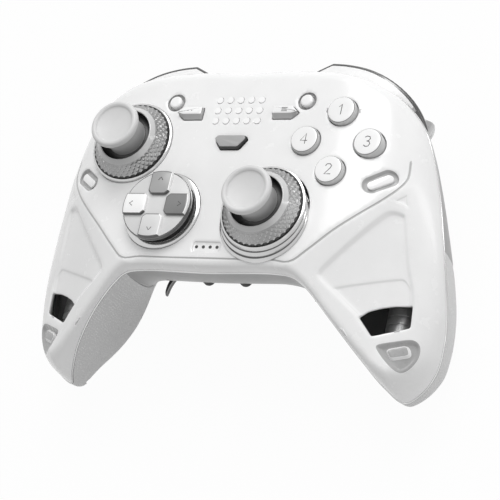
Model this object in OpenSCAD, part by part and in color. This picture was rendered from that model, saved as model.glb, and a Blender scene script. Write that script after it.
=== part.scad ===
// Game controller with two thumb sticks, lying face up on its grips and triggers.
// Everything is drawn from the middle of the face, +X to the right, +Y to the shoulders,
// +Z out of the face, and moved once at the end onto the table.

/* [Body] */
// Width across the grips
body_w = 160.4; // [158:0.4:164]
// Height of the face above the table
face_h = 55.5; // [54.5:0.5:57]
// Depth of the middle of the body behind the face
body_t = 27; // [27:0.5:29]
// Wall of the moulded shells
wall = 2.2; // [2:0.1:2.4]
// Height of the bright band between the shells
trim_h = 1.2; // [1:0.1:1.6]
// Thickness of the textured grip covers
cover_t = 1.5; // [1.2:0.1:1.8]
// Depth of the sunk panels on the grips
panel_t = 1.2; // [0.8:0.1:1.4]

/* [Sticks] */
// Diameter of a stick cap
cap_d = 19; // [17:0.5:19.5]
// Height of the left stick cap above the face
cap_h = 15.2; // [15:0.2:17]
// Diameter of the knurled collar
ring_d = 29.8; // [29.2:0.2:30.4]
// Height of the left knurled collar above the face
ring_h = 6.6; // [6.2:0.1:6.8]
// Diameter of the polished bezel
bezel_d = 32.2; // [31.8:0.2:33.4]
// How much higher the right stick stands on its stepped base
stage_h = 2.6; // [2:0.1:3]

/* [Buttons] */
// Diameter of a face button
button_d = 10.6; // [9.6:0.2:11.2]
// Height of a face button
button_h = 1.9; // [1.6:0.1:2.4]
// Distance between opposite face buttons
button_pitch = 23.2; // [22.4:0.2:24]
// Diameter of the direction disc
dpad_d = 26.6; // [25.6:0.2:27.2]
// Height of the direction disc above the face
dpad_h = 5; // [4.8:0.1:5.6]

/* [Shoulders] */
// How far a bumper stands out
bumper_out = 7.2; // [6.8:0.1:7.4]
// Width of a trigger
trigger_w = 29; // [27:0.5:29.5]

/* [Rear] */
// Thickness of a back paddle
paddle_t = 1.8; // [1.4:0.1:2]
// Diameter of a vibration motor
motor_d = 11; // [10:0.5:11.5]

/* [Hidden] */
$fn = 64;

// Shared clearances
seat = 0.12;
trim_gap = 0.2;
trim_out = 0.35;
trim_ease = 2;
slip = 0.3;
fit = 0.05;
eps = 0.01;

// Where the drawing stands on the table
mid_y = 9.06;
half_w = body_w / 2;
grip_t = face_h;

// Parting line of the right half from the top middle round to the bottom middle:
// across, along, height, width of the front rounding, width of the rear rounding
seam_points = [
    [0, 60.5, -8, 5, 9],
    [22, 61, -8, 5, 9],
    [40, 59.2, -8.2, 5.5, 9],
    [51, 55.6, -9, 6.5, 10],
    [59.5, 50.8, -11.5, 7.5, 12],
    [65.5, 44.3, -16, 8.5, 12],
    [69.9, 34.7, -18, 8.5, 12],
    [73.8, 21.1, -20.7, 8, 12],
    [77.1, 4.3, -24.2, 7, 12],
    [79.6, -12.4, -28.8, 6, 12],
    [80.2, -21, -32, 6, 12],
    [79.8, -28.8, -35.2, 6, 12],
    [77.9, -38.1, -38.1, 6, 12],
    [73.3, -45.4, -39.9, 6, 12],
    [67.3, -49.3, -40.5, 6, 12],
    [62.6, -47.3, -32, 5, 13],
    [56.4, -41.2, -21.9, 3.5, 16],
    [47, -31.2, -12.2, 3, 16],
    [38, -22, -7, 2.6, 13],
    [33, -18.9, -5.2, 2.6, 10],
    [26, -18, -4.7, 2.6, 8],
    [0, -18.3, -4.9, 2.6, 8]];
seam_last = len(seam_points) - 1;
seam_turn = 10;
seam_steps = 5;
draw_w = seam_points[seam_turn][0];
stretch = half_w / draw_w;
flip = [-1, 1, 1, 1, 1];

// Fold between the middle of the face and a grip
fold_from = [32.5, -15.6];
fold_to = [63.4, 14.6];
fold_along = (fold_to - fold_from) / norm(fold_to - fold_from);
wing_tilt = -0.384;
wing_bow = -0.00126;
wing_twist = -0.00666;
crown_from = 29;
crown_rate = 1.68e-4;
front_power = 2.6;
rear_power = 2.4;
low_t = body_t - 4;

function mix(a, b, t) = a + (b - a) * t;
function clamp(v) = min(1, max(0, v));
function ramp(a, b, v) = let (q = clamp((v - a) / (b - a))) q * q * (3 - 2 * q);
function flat(p) = [p[0], p[1]];

// Smooth curve through the parting line's points
function knot(a, b) = sqrt(norm([a[0] - b[0], a[1] - b[1], a[2] - b[2]]));
function bend(p0, p1, p2, p3, u) = let (
    t1 = knot(p0, p1),
    t2 = t1 + knot(p1, p2),
    t3 = t2 + knot(p2, p3),
    t = mix(t1, t2, u),
    a1 = (p0 * (t1 - t) + p1 * t) / t1,
    a2 = (p1 * (t2 - t) + p2 * (t - t1)) / (t2 - t1),
    a3 = (p2 * (t3 - t) + p3 * (t - t2)) / (t3 - t2),
    b1 = (a1 * (t2 - t) + a2 * t) / t2,
    b2 = (a2 * (t3 - t) + a3 * (t - t1)) / (t3 - t1))
    (b1 * (t2 - t) + b2 * (t - t1)) / (t2 - t1);
function seam_at(i) = i < 0 ? [for (k = [0:4]) seam_points[-i][k] * flip[k]]
    : i > seam_last ? [for (k = [0:4]) seam_points[2 * seam_last - i][k] * flip[k]]
    : seam_points[i];
function seam_curve(from, to, steps) = [
    for (i = [from:to - 1]) for (j = [0:steps - 1])
        bend(seam_at(i - 1), seam_at(i), seam_at(i + 1), seam_at(i + 2), j / steps),
    seam_points[to]];
function along(line, k) = [for (p = line) [p[0], p[k]]];

// Distance of a point from the parting line, with the line's values at the nearest place
function nearest(p, line) = let (
    spots = [for (i = [0:len(line) - 2]) let (
        a = flat(line[i]),
        ab = flat(line[i + 1]) - a,
        s = clamp(((p - a) * ab) / (ab * ab)))
        [norm(p - a - ab * s), s]],
    d = min([for (q = spots) q[0]]),
    i = [for (k = [0:len(spots) - 1]) if (spots[k][0] == d) k][0],
    v = mix(line[i], line[i + 1], spots[i][1]))
    [d, v[2], v[3], v[4]];

// Face without its rounded edge: a crowned middle and a bowed wing on each side
function crown_z(x) = -crown_rate * pow(max(0, abs(x) - crown_from), 3);
function face_z(x, y) = let (
    u = abs(x),
    r = max(0, (u - fold_from[0]) * fold_along[0] + (y - fold_from[1]) * fold_along[1]),
    s = (u - fold_from[0]) * fold_along[1] - (y - fold_from[1]) * fold_along[0])
    s < 0 ? crown_z(u)
    : crown_z(fold_from[0] + r * fold_along[0]) + s * (wing_tilt + wing_bow * s + wing_twist * r);
// Back without its rounded edge: a shallow middle and a deep bulge under each grip
function back_z(x, y) = let (across = ramp(24, 58, abs(x)), down = ramp(44, -16, y))
    -low_t - (body_t - low_t) * ramp(-18, 10, y) * (1 - across)
    - (5.5 + (grip_t - low_t - 5.5) * down - 7 * ramp(-33, -50, y)) * across;
function round_off(d, width, power) = pow(1 - pow(clamp(1 - d / width), power), 1 / power);
function front_z(q, inset) = let (zs = q[3], top = face_z(q[0], q[1]) - inset)
    q[2] <= inset ? zs : zs + (top - zs) * round_off(q[2] - inset, q[4], front_power);
// A drop sinks the surface, but never past a share of its depth under the parting line
function rear_z(q, inset, drop = 0, share = 0.5) = let (
    zs = q[3] - trim_h,
    low = back_z(q[0], q[1]) + inset,
    deep = q[2] <= inset ? 0 : max(zs - low, 0.4) * round_off(q[2] - inset, q[5], rear_power))
    zs - deep + min(drop, share * deep);

// Grid of stations across the body and rows along it
upper_line = seam_curve(0, seam_turn, seam_steps);
lower_line = seam_curve(seam_turn, seam_last, seam_steps);
whole_line = concat(upper_line, [for (i = [1:len(lower_line) - 1]) lower_line[i]]);
upper_y = along(upper_line, 1);
lower_y = [for (i = [len(lower_line) - 1:-1:0]) flat(lower_line[i])];
stations = 26;
cover_x = 34.4;
cover_gap = 0.3;
function station(i) = draw_w * sin(90 * i / stations);
half_stations = concat(
    [for (i = [0:7]) station(i)],
    [cover_x, cover_x + cover_gap, cover_x + 2 * cover_gap],
    [for (i = [8:stations - 1]) station(i)],
    [draw_w - 0.03]);
all_stations = concat(
    [for (i = [len(half_stations) - 1:-1:1]) -half_stations[i]], half_stations);
edge_rows = [0, 0.05, 0.15, 0.35, 0.65, 1];
rear_rows = [0, 0.02, 0.07, 0.18, 0.4, 0.7, 1];
cover_share = 0.66;
function fold_y(u) = fold_from[1] + (u - fold_from[0]) * fold_along[1] / fold_along[0];
function front_row(u) = let (
    lo = lookup(u, lower_y),
    hi = lookup(u, upper_y),
    span = hi - lo,
    hem = min(8, 0.28 * span),
    fold = u < fold_from[0] ? lo + 3.4 : min(max(fold_y(u), lo + 3.4), hi - hem - 0.1 * span),
    low_hem = min(hem, 0.9 * (fold - lo)))
    concat(
        [for (f = edge_rows) lo + f * low_hem],
        [for (f = [1:2]) mix(lo + low_hem, fold, f / 3)],
        [for (f = [0:6]) mix(fold, hi - hem, f / 7)],
        [for (i = [len(edge_rows) - 1:-1:0]) hi - edge_rows[i] * hem]);
function rear_row(u) = let (
    lo = lookup(u, lower_y),
    hi = lookup(u, upper_y),
    span = hi - lo,
    hem = min(13, 0.25 * span),
    stop = lo + cover_share * span)
    concat(
        [for (f = rear_rows) lo + f * hem],
        [for (f = [1:5]) mix(lo + hem, stop, f / 6)],
        [stop - cover_gap, stop, stop + cover_gap],
        [(stop + cover_gap + hi - hem) / 2],
        [for (i = [len(rear_rows) - 1:-1:0]) hi - rear_rows[i] * hem]);
function placed_point(x, y) = concat([abs(x), y], nearest([abs(x), y], whole_line));
function half_grid(rear) = [for (u = half_stations)
    [for (y = rear ? rear_row(u) : front_row(u)) placed_point(u, y)]];
function full(grid) = concat([for (i = [len(grid) - 1:-1:1]) grid[i]], grid);

// Closed solid between two sheets over one grid that share their border
module sheet_solid(xs, grid, top, bottom) {
    n = len(grid);
    m = len(grid[0]);
    count = n * m;
    function rim(i, k) = i == 0 || i == n - 1 || k == 0 || k == m - 1;
    function low(i, k) = rim(i, k) ? i * m + k : count + i * m + k;
    points = concat(
        [for (i = [0:n - 1]) for (k = [0:m - 1]) [xs[i] * stretch, grid[i][k][1], top[i][k]]],
        [for (i = [0:n - 1]) for (k = [0:m - 1]) [xs[i] * stretch, grid[i][k][1], bottom[i][k]]]);
    // Each cell is cut along a diagonal that mirrors its twin on the other half of the body
    cuts = [for (i = [0:n - 2]) for (k = [0:m - 2]) each xs[i + 1] > 0
        ? [[[i, k], [i, k + 1], [i + 1, k + 1]], [[i, k], [i + 1, k + 1], [i + 1, k]]]
        : [[[i, k], [i, k + 1], [i + 1, k]], [[i, k + 1], [i + 1, k + 1], [i + 1, k]]]];
    // A corner triangle with no inner point has no thickness and is left out
    kept = [for (t = cuts) if (len([for (q = t) if (rim(q[0], q[1])) q]) < 3) t];
    up = [for (t = kept) [for (q = t) q[0] * m + q[1]]];
    down = [for (t = kept) [for (j = [2:-1:0]) low(t[j][0], t[j][1])]];
    polyhedron(points, concat(up, down));
}

// Sheet that follows the face inside a star-shaped outline, for panels, pockets and panes
module face_sheet(corners, top, bottom, taper = 1, rows = 1, pitch = 99) {
    outline = [for (i = [0:len(corners) - 1]) let (
        a = corners[i],
        b = corners[(i + 1) % len(corners)],
        steps = ceil(norm(b - a) / pitch))
        for (j = [0:steps - 1]) mix(a, b, j / steps)];
    n = len(outline);
    mid = [for (k = [0:1]) [for (p = outline) p[k]] * [for (p = outline) 1] / n];
    function spot(q, lift) = [q[0] * stretch, q[1], face_z(q[0], q[1]) + lift];
    function ring(f, lift) = [for (p = outline) spot(mid + (p - mid) * f, lift)];
    points = concat(
        [for (j = [0:rows - 1]) each ring(1 - j / rows, top)],
        [for (j = [0:rows - 1]) each ring((1 - j / rows) * taper, bottom)],
        [spot(mid, top), spot(mid, bottom)]);
    base = rows * n;
    heart = 2 * base;
    bands = rows == 1 ? [] : [for (j = [0:rows - 2]) for (i = [0:n - 1]) let (k = (i + 1) % n) each [
        [j * n + i, (j + 1) * n + k, (j + 1) * n + i],
        [j * n + i, j * n + k, (j + 1) * n + k],
        [base + j * n + i, base + (j + 1) * n + i, base + (j + 1) * n + k],
        [base + j * n + i, base + (j + 1) * n + k, base + j * n + k]]];
    caps = [for (i = [0:n - 1]) let (k = (i + 1) % n, j = rows - 1) each [
        [j * n + i, j * n + k, heart],
        [base + j * n + i, heart + 1, base + j * n + k],
        [i, base + k, k],
        [i, base + i, base + k]]];
    polyhedron(points, concat(bands, caps));
}

// Outlines on the right grip, running clockwise seen from the front
panel_outline = [[42, -17.4], [43.2, -15.4], [61.2, 7.2], [63.4, 8.6], [66.6, 8.7], [67.8, 7.6],
    [70.4, -9], [72.6, -17], [73, -21], [72.8, -29], [71.6, -30.3], [61.6, -35.6], [60.2, -35.2],
    [55.6, -29.8], [42.4, -19.4]];
window_outline = [[56.4, -29.2], [59, -26.6], [62.6, -24.6], [66.6, -22.9], [72, -21.4],
    [72.2, -29.2], [61, -34.9]];
pocket_outline = [[62.8, -38.4], [63.4, -37.2], [73.2, -32.8], [75.2, -33.4], [75.8, -35.4],
    [75.2, -38.6], [73.2, -42.2], [70.8, -44.6], [68.6, -44.4], [65.4, -41.6]];
boss_outline = [[65.6, -38.6], [66.4, -37.4], [71.2, -35.1], [72.4, -35.4], [73.2, -37.6],
    [72.6, -38.8], [68, -41], [67, -40.8]];
facet_outline = [[63.9, 11.7], [67, 15], [67.6, 11]];

// Stadium seen from the front, turned about its middle
function stadium(at, long, wide, turn) = [for (i = [0:23]) let (
    a = -15 * (i + 0.5),
    side = cos(a) > 0 ? (long - wide) / 2 : (wide - long) / 2,
    p = [side + wide / 2 * cos(a), wide / 2 * sin(a)])
    at + [p[0] * cos(turn) - p[1] * sin(turn), p[0] * sin(turn) + p[1] * cos(turn)]];
oval_at = [58.4, 17.3];
oval_long = 12.8;
oval_wide = 6.6;
lens_long = 9.8;
lens_wide = 3.4;
oval_turn = 36;
oval_t = 1.5;

// Controls on the face
left_stick = [-40.5 * stretch, 30.26];
right_stick = [20.17 * stretch, 3.18];
// The direction disc lies below the left bezel
disc_lie = -54.52;
disc_gap = 2.6;
disc_rim = 1.6;
disc_away = bezel_d / 2 + dpad_d / 2 + disc_rim + disc_gap;
dpad_at = left_stick + disc_away * [cos(disc_lie), sin(disc_lie)];
face_mid = [41 * stretch, 30.7];
round_at = [26.4 * stretch, 46.7];
flag_at = [19.2 * stretch, 41.9];
middle_at = [0, 30];
strip_at = [0, -10.6];
lamp_at = [0, 43.2];
north_at = face_mid + [0, button_pitch / 2];
south_at = face_mid - [0, button_pitch / 2];
east_at = face_mid + [button_pitch / 2, 0];
west_at = face_mid - [button_pitch / 2, 0];
function local_z(at) = crown_z(at[0] / stretch);

// Heights inside the body
shelf_z = -12;
shelf_t = 1.4;
sheet_t = 0.8;
dome_z = -10.4;
stem_z = -8.8;
board_z = -16.5;
board_t = 1.6;
tongue_y = 54.2;
pivot_z = -10;
module_w = 17;
module_top = -5.2;
flange_t = 1;
flange_out = 0.9;
shelf_posts = [[-8 * stretch, 24], [24 * stretch, 22], [33 * stretch, 47]];
shelf_post_r = 1.8;
// Underside of the face at the outer edge of a button's flange
function flange_z(at, reach) = crown_z(abs(at[0]) / stretch + reach + flange_out) - wall - seat;

// Flat outline of a five-sided button whose point looks outwards
flag_long = 9.9;
flag_wide = 4.5;
flag_point = 2.4;
function flag(grow) = [
    [-flag_long / 2 - grow, -flag_wide / 2 - grow],
    [flag_long / 2 - flag_point, -flag_wide / 2 - grow],
    [flag_long / 2 + grow * 1.4, 0],
    [flag_long / 2 - flag_point, flag_wide / 2 + grow],
    [-flag_long / 2 - grow, flag_wide / 2 + grow]];
// Flat outline of the dark button, wider at its top
tab_top = 12.4;
tab_low = 7;
tab_wide = 5;
function tab(grow) = [
    [-tab_low / 2 - grow, -tab_wide / 2 - grow],
    [tab_low / 2 + grow, -tab_wide / 2 - grow],
    [tab_top / 2 + grow * 1.6, tab_wide / 4],
    [tab_top / 2 - tab_wide / 5 + grow, tab_wide / 2 + grow],
    [tab_wide / 5 - tab_top / 2 - grow, tab_wide / 2 + grow],
    [-tab_top / 2 - grow * 1.6, tab_wide / 4]];
flag_h = 1.7;
tab_h = 1.6;
round_d = 4.8;
round_h = 0.9;
round_well = 7.2;
round_sink = 0.9;
strip_long = 11;
strip_wide = 4;
strip_sink = 0.7;
strip_pitch = 2.7;
strip_r = 0.6;
lamp_pitch = 4.2;
lamp_r = 1.25;
lamp_out = 0.25;
lamp_plate = 1.4;

// Direction disc
dpad_r = dpad_d / 2;
dpad_base_r = dpad_r + disc_rim;
dpad_disc_t = 2.6;
dpad_pivot_z = -6.5;
dpad_post_r = 2;
pad_t = 0.9;
pad_inner = 3.9;
pad_half = 4.1;
pad_nip = 1.3;
pad_edge = 0.3;

// Stick profile
cap_r = cap_d / 2;
cap_edge = 1.7;
barrel_r = cap_r - 2.4;
stem_r = 3.4;
lever_r = 1.5;
lever_top = 6;
click = 0.6;
// Skirt under the barrel, part of a ball about the stick's pivot
skirt_r = 16.3;
skirt_t = 1;
skirt_edge = 40;
// Collar with the mouth that the barrel stands in, and its neck on the bezel
ring_r = ring_d / 2;
ring_low = 0.6;
ring_edge = 1.6;
mouth_r = barrel_r + 2.8;
neck_out = ring_r - 1;
neck_in = neck_out - 0.7;
neck_top = 1.5;
bezel_r = bezel_d / 2;
bezel_low = -5;
bezel_floor = -1.6;
stage_r = bezel_r + 2.4;

// Shoulders
bumper_from = 1;
bumper_to = 5;
bumper_steps = 4;
bumper_low = -19.2;
bumper_top = -9.6;
bumper_in = 3;
bumper_room = 2.2;
bumper_end_room = 1.8;
bumper_under_trim = 0.7;
bumper_start = 0.53;
bumper_rise = 0.4;
bumper_peak = 2;
bumper_fall = 0.03;
bumper_bend = 1.3;
shelf_web = 1.1;
bumper_pin = [21.5 * stretch, 56.4];
bumper_pin_r = 1.1;
bumper_eye_r = 2.6;
trigger_at = [47 * stretch, 51];
trigger_turn = -21;
trigger_skew = 3;
trigger_z = -23;
trigger_pin_r = 1.2;
arm_w = 7;
lug_r = 2.3;
lug_t = 2.2;
bay_top = bumper_low - slip - shelf_web;
bay_in = 8;
// Front of a trigger from its top down to the lip, then its inner face back up, as drawn
// for a face 55.5 above the table
trigger_front = [[4.2, -21.1], [6.3, -24.6], [7.8, -31], [8.4, -38], [9.2, -45], [10.8, -50.6],
    [12.4, -54], [11.6, -55.2], [10.4, -54.8]];
trigger_inner = [[8.4, -51.4], [6.8, -46], [5.9, -38.4], [5.1, -31.6], [3.9, -27.2], [3.2, -24.4],
    [2.9, -21.8]];
// Back edge of its side cheeks
trigger_cheek = [[7.6, -50.6], [3.6, -45], [-0.4, -39], [-3, -33], [-4, -28.6], [-3.2, -25.6],
    [-0.6, -22.8]];
trigger_drawn = 55.5;
// Lower end seen from the front, across as a share of the half width, sweeping up to the outer side
trigger_end = [[-1, 0], [-1, -46], [-0.88, -51.6], [-0.6, -55.3], [-0.1, -54.8], [0.16, -51.4],
    [0.4, -46.8], [0.62, -41.4], [0.81, -36], [0.93, -31.6], [1, -27.6], [1, 0]];
// Heights below the axle follow the height of the face
function hung(outline) = [for (p = outline) [p[0], p[1] > trigger_z ? p[1]
    : trigger_z + (p[1] - trigger_z) * (grip_t + trigger_z) / (trigger_drawn + trigger_z)]];
cheek_t = 2;
trigger_sweep = 60;
trigger_reach = 13.5;
arm_outline = [[0, -21.2], [3.4, -21.4], [4.6, -26.6], [0, -25.1]];

// Rear
screw_at = [[13 * stretch, 50], [-13 * stretch, 50], [0, -3]];
screw_head_r = 2.4;
screw_head_t = 1.4;
screw_sink = 0.6;
screw_r = 1.1;
post_r = 2.6;
board_posts = [[27, 34], [-27, 34], [27, -6], [-27, -6]];
paddle_axis = [6, -29.4];
paddle_x = [15.5 * stretch, 21.5 * stretch];
paddle_tip = [30.3 * stretch, -16.4, -32];
paddle_half_w = [2.8, 0.6];
paddle_pin_r = 1;
paddle_eye_r = 2.1;
paddle_steps = 8;
motor_at = [65.2 * stretch, -31];
motor_from = -33.5;
motor_to = -16.5;
motor_r = motor_d / 2;
rib_count = 5;
rib_pitch = 3.2;
shaft_r = 0.8;
weight_from = motor_to + 0.8;
weight_to = motor_to + 6;
weight_r = 4.6;
usb_z = -14;
usb_from = 52.6;
usb_to = 60.4;
usb_wide = 8.9;
usb_high = 3.2;
usb_wall = 0.3;
pad_spot = [7.4 * stretch, -14.3];
pad_r = 2.4;
pad_low = 21.2;
pad_high = 17.5;
battery_w = 40;
battery_from = 15;
battery_to = 43;

module onto_table() { translate([0, -mid_y, face_h]) children(); }
module mirrored(left) { if (left) mirror([1, 0, 0]) children(); else children(); }
module rod(from, to, r) { translate([0, 0, from]) cylinder(h = to - from, r = r); }
module at_xy(p) { translate([p[0], p[1], 0]) children(); }
// Rod along X or Y between two places
module rod_x(from, to, y, z, r) { translate([from, y, z]) rotate([0, 90, 0]) cylinder(h = to - from, r = r); }
module rod_y(from, to, x, z, r) { translate([x, to, z]) rotate([90, 0, 0]) cylinder(h = to - from, r = r); }
module block(from, to) { translate(from) cube(to - from); }
module both() { children(); mirror([1, 0, 0]) children(); }

// Shells
module front_body() {
    half = half_grid(false);
    grid = full(half);
    top = full([for (row = half) [for (q = row) front_z(q, 0)]]);
    bottom = full([for (row = half) [for (q = row) front_z(q, wall)]]);
    sheet_solid(all_stations, grid, top, bottom);
}
module stick_holes() {
    for (at = [left_stick, right_stick]) at_xy(at) rod(-20, 20, bezel_d / 2 + seat);
    at_xy(dpad_at) rod(-20, 20, dpad_base_r + seat);
}
module button_holes() {
    for (at = [north_at, south_at, east_at, west_at]) at_xy(at) rod(-20, 20, button_d / 2 + slip);
    both() at_xy(round_at) {
        rod(-20, 20, round_d / 2 + slip);
        rod(-round_sink, 20, round_well / 2);
    }
    both() at_xy(flag_at) translate([0, 0, -20]) linear_extrude(40) polygon(flag(slip));
    at_xy(middle_at) translate([0, 0, -20]) linear_extrude(40) polygon(tab(slip));
}
module front_shell() color("whitesmoke") difference() {
    union() {
        front_body();
        for (at = screw_at) at_xy(at) rod(board_z + eps, -wall / 2, post_r);
        for (at = shelf_posts) at_xy(at) rod(shelf_z + sheet_t, -wall / 2, shelf_post_r);
    }
    stick_holes();
    button_holes();
    both() {
        face_sheet(panel_outline, 1, -panel_t, 0.94, 5, 5);
        face_sheet(window_outline, 6, -12);
        difference() {
            face_sheet(pocket_outline, 1, -1.5, 0.86, 2);
            face_sheet(boss_outline, -0.5, -8);
        }
        face_sheet(facet_outline, 1, -0.5, 0.9);
        face_sheet(stadium(oval_at, oval_long, oval_wide, oval_turn), 1, -oval_t, 0.92);
    }
    for (i = [-2:2]) for (j = [-1:1])
        at_xy(lamp_at + [lamp_pitch * i, lamp_pitch * j]) rod(-20, 20, lamp_r + seat);
    at_xy(strip_at)
        block([-strip_long / 2, -strip_wide / 2, -strip_sink], [strip_long / 2, strip_wide / 2, 20]);
    for (i = [-1.5:1.5]) at_xy(strip_at + [strip_pitch * i, 0]) rod(-20, 20, strip_r + seat);
    for (at = screw_at) at_xy(at) rod(-20, -4, screw_r + seat);
}

// Strip that follows the parting line; each section is a list of [outwards, height]
module follow_seam(line, sections) {
    n = len(line);
    m = len(sections[0]);
    function run(i) = flat(line[min(i + 1, n - 1)]) - flat(line[max(i - 1, 0)]);
    points = [for (i = [0:n - 1]) let (t = run(i) / norm(run(i)))
        for (q = sections[i])
            [(line[i][0] - t[1] * q[0]) * stretch, line[i][1] + t[0] * q[0], q[1]]];
    sides = [for (i = [0:n - 2]) for (k = [0:m - 1]) let (j = (k + 1) % m) each [
        [i * m + k, (i + 1) * m + j, i * m + j],
        [i * m + k, (i + 1) * m + k, (i + 1) * m + j]]];
    ends = [for (k = [1:m - 2]) each [
        [0, k, k + 1],
        [(n - 1) * m, (n - 1) * m + k + 1, (n - 1) * m + k]]];
    polyhedron(points, concat(sides, ends));
}
function rear_inset() = wall + cover_t;
cover_first = search(cover_x + cover_gap, half_stations)[0];
cover_last = len(rear_rows) + 6;
module rear_body() {
    half = half_grid(true);
    grid = full(half);
    n = len(half);
    m = len(half[0]);
    function sunk(i, k) = i >= cover_first && k <= cover_last ? cover_t + seat : 0;
    top = full([for (row = half) [for (q = row) rear_z(q, rear_inset())]]);
    bottom = full([for (i = [0:n - 1]) [for (k = [0:m - 1]) rear_z(half[i][k], 0, sunk(i, k))]]);
    sheet_solid(all_stations, grid, top, bottom);
}
module bumper_bay() {
    line = seam_curve(bumper_from, bumper_to, bumper_steps);
    n = len(line);
    before = line[0] + (line[0] - line[1]) * 0.15;
    last = line[n - 1] - line[n - 2];
    after = line[n - 1] + last * bumper_end_room / norm(flat(last));
    long = concat([before], line, [after]);
    section = [[-bumper_in - bumper_room, bumper_low - slip], [9, bumper_low - slip],
        [9, -4], [-bumper_in - bumper_room, -4]];
    follow_seam(long, [for (p = long) section]);
    at_xy(bumper_pin) rod(bumper_low - slip, -4, bumper_eye_r + slip);
}
module trigger_frame() { at_xy(trigger_at) rotate([0, 0, trigger_turn]) children(); }
module side_profile(from, to) {
    translate([from, 0, 0]) rotate([90, 0, 90]) linear_extrude(to - from) children();
}
module trigger_bay() {
    trigger_frame() block([-trigger_w / 2 - 0.8, -bay_in, -face_h - 10], [trigger_w / 2 + 4, 30, bay_top]);
}
function head_z(at) = back_z(at[0] / stretch, at[1]) + screw_sink;
module usb_outline(grow) {
    r = usb_high / 2 + grow;
    reach = (usb_wide - usb_high) / 2;
    for (side = [-1, 1]) rod_y(usb_from - eps * grow, 70, side * reach, usb_z, r);
    block([-reach, usb_from - eps * grow, usb_z - r], [reach, 70, usb_z + r]);
}
module motor_ribs() {
    for (y = [motor_from + 2, motor_to - 5]) difference() {
        block([motor_at[0] - 4, y, 2.4 - face_h], [motor_at[0] + 4, y + 3, motor_at[1]]);
        rod_y(motor_from - 1, motor_to + 1, motor_at[0], motor_at[1], motor_r + seat);
    }
}
module paddle_lugs() {
    for (x = [paddle_x[0] - 2.4, paddle_x[1] + 0.4])
        block([x, paddle_axis[0] - 2, paddle_axis[1] - 2], [x + 2, paddle_axis[0] + 2, -body_t + 1.6]);
    rod_x(paddle_x[0] - 1, paddle_x[1] + 1, paddle_axis[0], paddle_axis[1], paddle_pin_r);
}
module rear_shell() color("lightgray") difference() {
    union() {
        difference() {
            rear_body();
            both() {
                bumper_bay();
                trigger_bay();
            }
        }
        both() {
            motor_ribs();
            paddle_lugs();
            at_xy(bumper_pin) rod(bumper_low - 2, bumper_top, bumper_pin_r);
        }
        for (at = board_posts)
            at_xy([at[0] * stretch, at[1]]) rod(back_z(at[0], at[1]) + wall / 2, board_z - board_t, 2);
        for (at = screw_at) at_xy(at) rod(head_z(at) + screw_head_t + 0.4, board_z - board_t, post_r);
    }
    usb_outline(seat);
    both() at_xy(pad_spot) rod(-30, seat - pad_high, pad_r + seat);
    for (at = screw_at) at_xy(at) {
        rod(-40, head_z(at) + screw_head_t + seat, screw_head_r + seat);
        rod(-40, 0, screw_r + seat);
    }
}
module trim_band() {
    last = len(half_stations) - 1;
    function edge(u, line) = let (q = placed_point(u, lookup(u, line))) [q[0], q[1], q[3]];
    half = concat(
        [for (i = [0:last]) edge(half_stations[i], upper_y)],
        [for (i = [last:-1:0]) edge(half_stations[i], lower_y)]);
    end = len(half) - 1;
    function steep(k) = let (a = half[max(0, k - 1)], b = half[min(end, k + 1)])
        abs(b[2] - a[2]) / norm(flat(b) - flat(a));
    section = [for (k = [0:end]) let (
        low = half[k][2] - trim_h + trim_gap,
        high = half[k][2] - trim_gap,
        deep = wall / (1 + trim_ease * steep(k)))
        [[-deep, low], [trim_out, low], [trim_out, high], [-deep, high]]];
    color("silver") both() follow_seam(half, section);
}
module grip_cover(left) {
    half = half_grid(true);
    xs = [for (i = [cover_first:len(half_stations) - 1]) half_stations[i]];
    grid = [for (i = [cover_first:len(half) - 1]) [for (k = [0:cover_last]) half[i][k]]];
    outer = [for (row = grid) [for (q = row) rear_z(q, 0)]];
    inner = [for (row = grid) [for (q = row) rear_z(q, 0, cover_t, 0.4)]];
    color("gainsboro") mirrored(left) sheet_solid(xs, grid, inner, outer);
}

// Panes and lamps
function grown(outline, f) = let (n = len(outline),
    mid = [for (k = [0:1]) [for (p = outline) p[k]] * [for (p = outline) 1] / n])
    [for (p = outline) mid + (p - mid) * f];
module window(left) color("dimgray") mirrored(left)
    face_sheet(grown(window_outline, 1.06), -wall - 0.8, -wall - 1.8, 1, 3, 6);
module side_lenses() color("white") both()
    face_sheet(stadium(oval_at, lens_long, lens_wide, oval_turn), -0.5, seat - oval_t);
module light_guide() color("white") at_xy(lamp_at) {
    block([-2.5 * lamp_pitch, -1.5 * lamp_pitch, -wall - lamp_plate],
        [2.5 * lamp_pitch, 1.5 * lamp_pitch, -wall - slip]);
    for (i = [-2:2]) for (j = [-1:1])
        at_xy([lamp_pitch * i, lamp_pitch * j]) rod(-wall - lamp_plate / 2, lamp_out, lamp_r);
}
module indicator_strip() color("gray") at_xy(strip_at) {
    block([-strip_long / 2, -strip_wide / 2, -wall - lamp_plate],
        [strip_long / 2, strip_wide / 2, -wall - slip]);
    for (i = [-1.5:1.5])
        at_xy([strip_pitch * i, 0]) rod(-wall - lamp_plate / 2, slip - strip_sink, strip_r);
}

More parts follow.
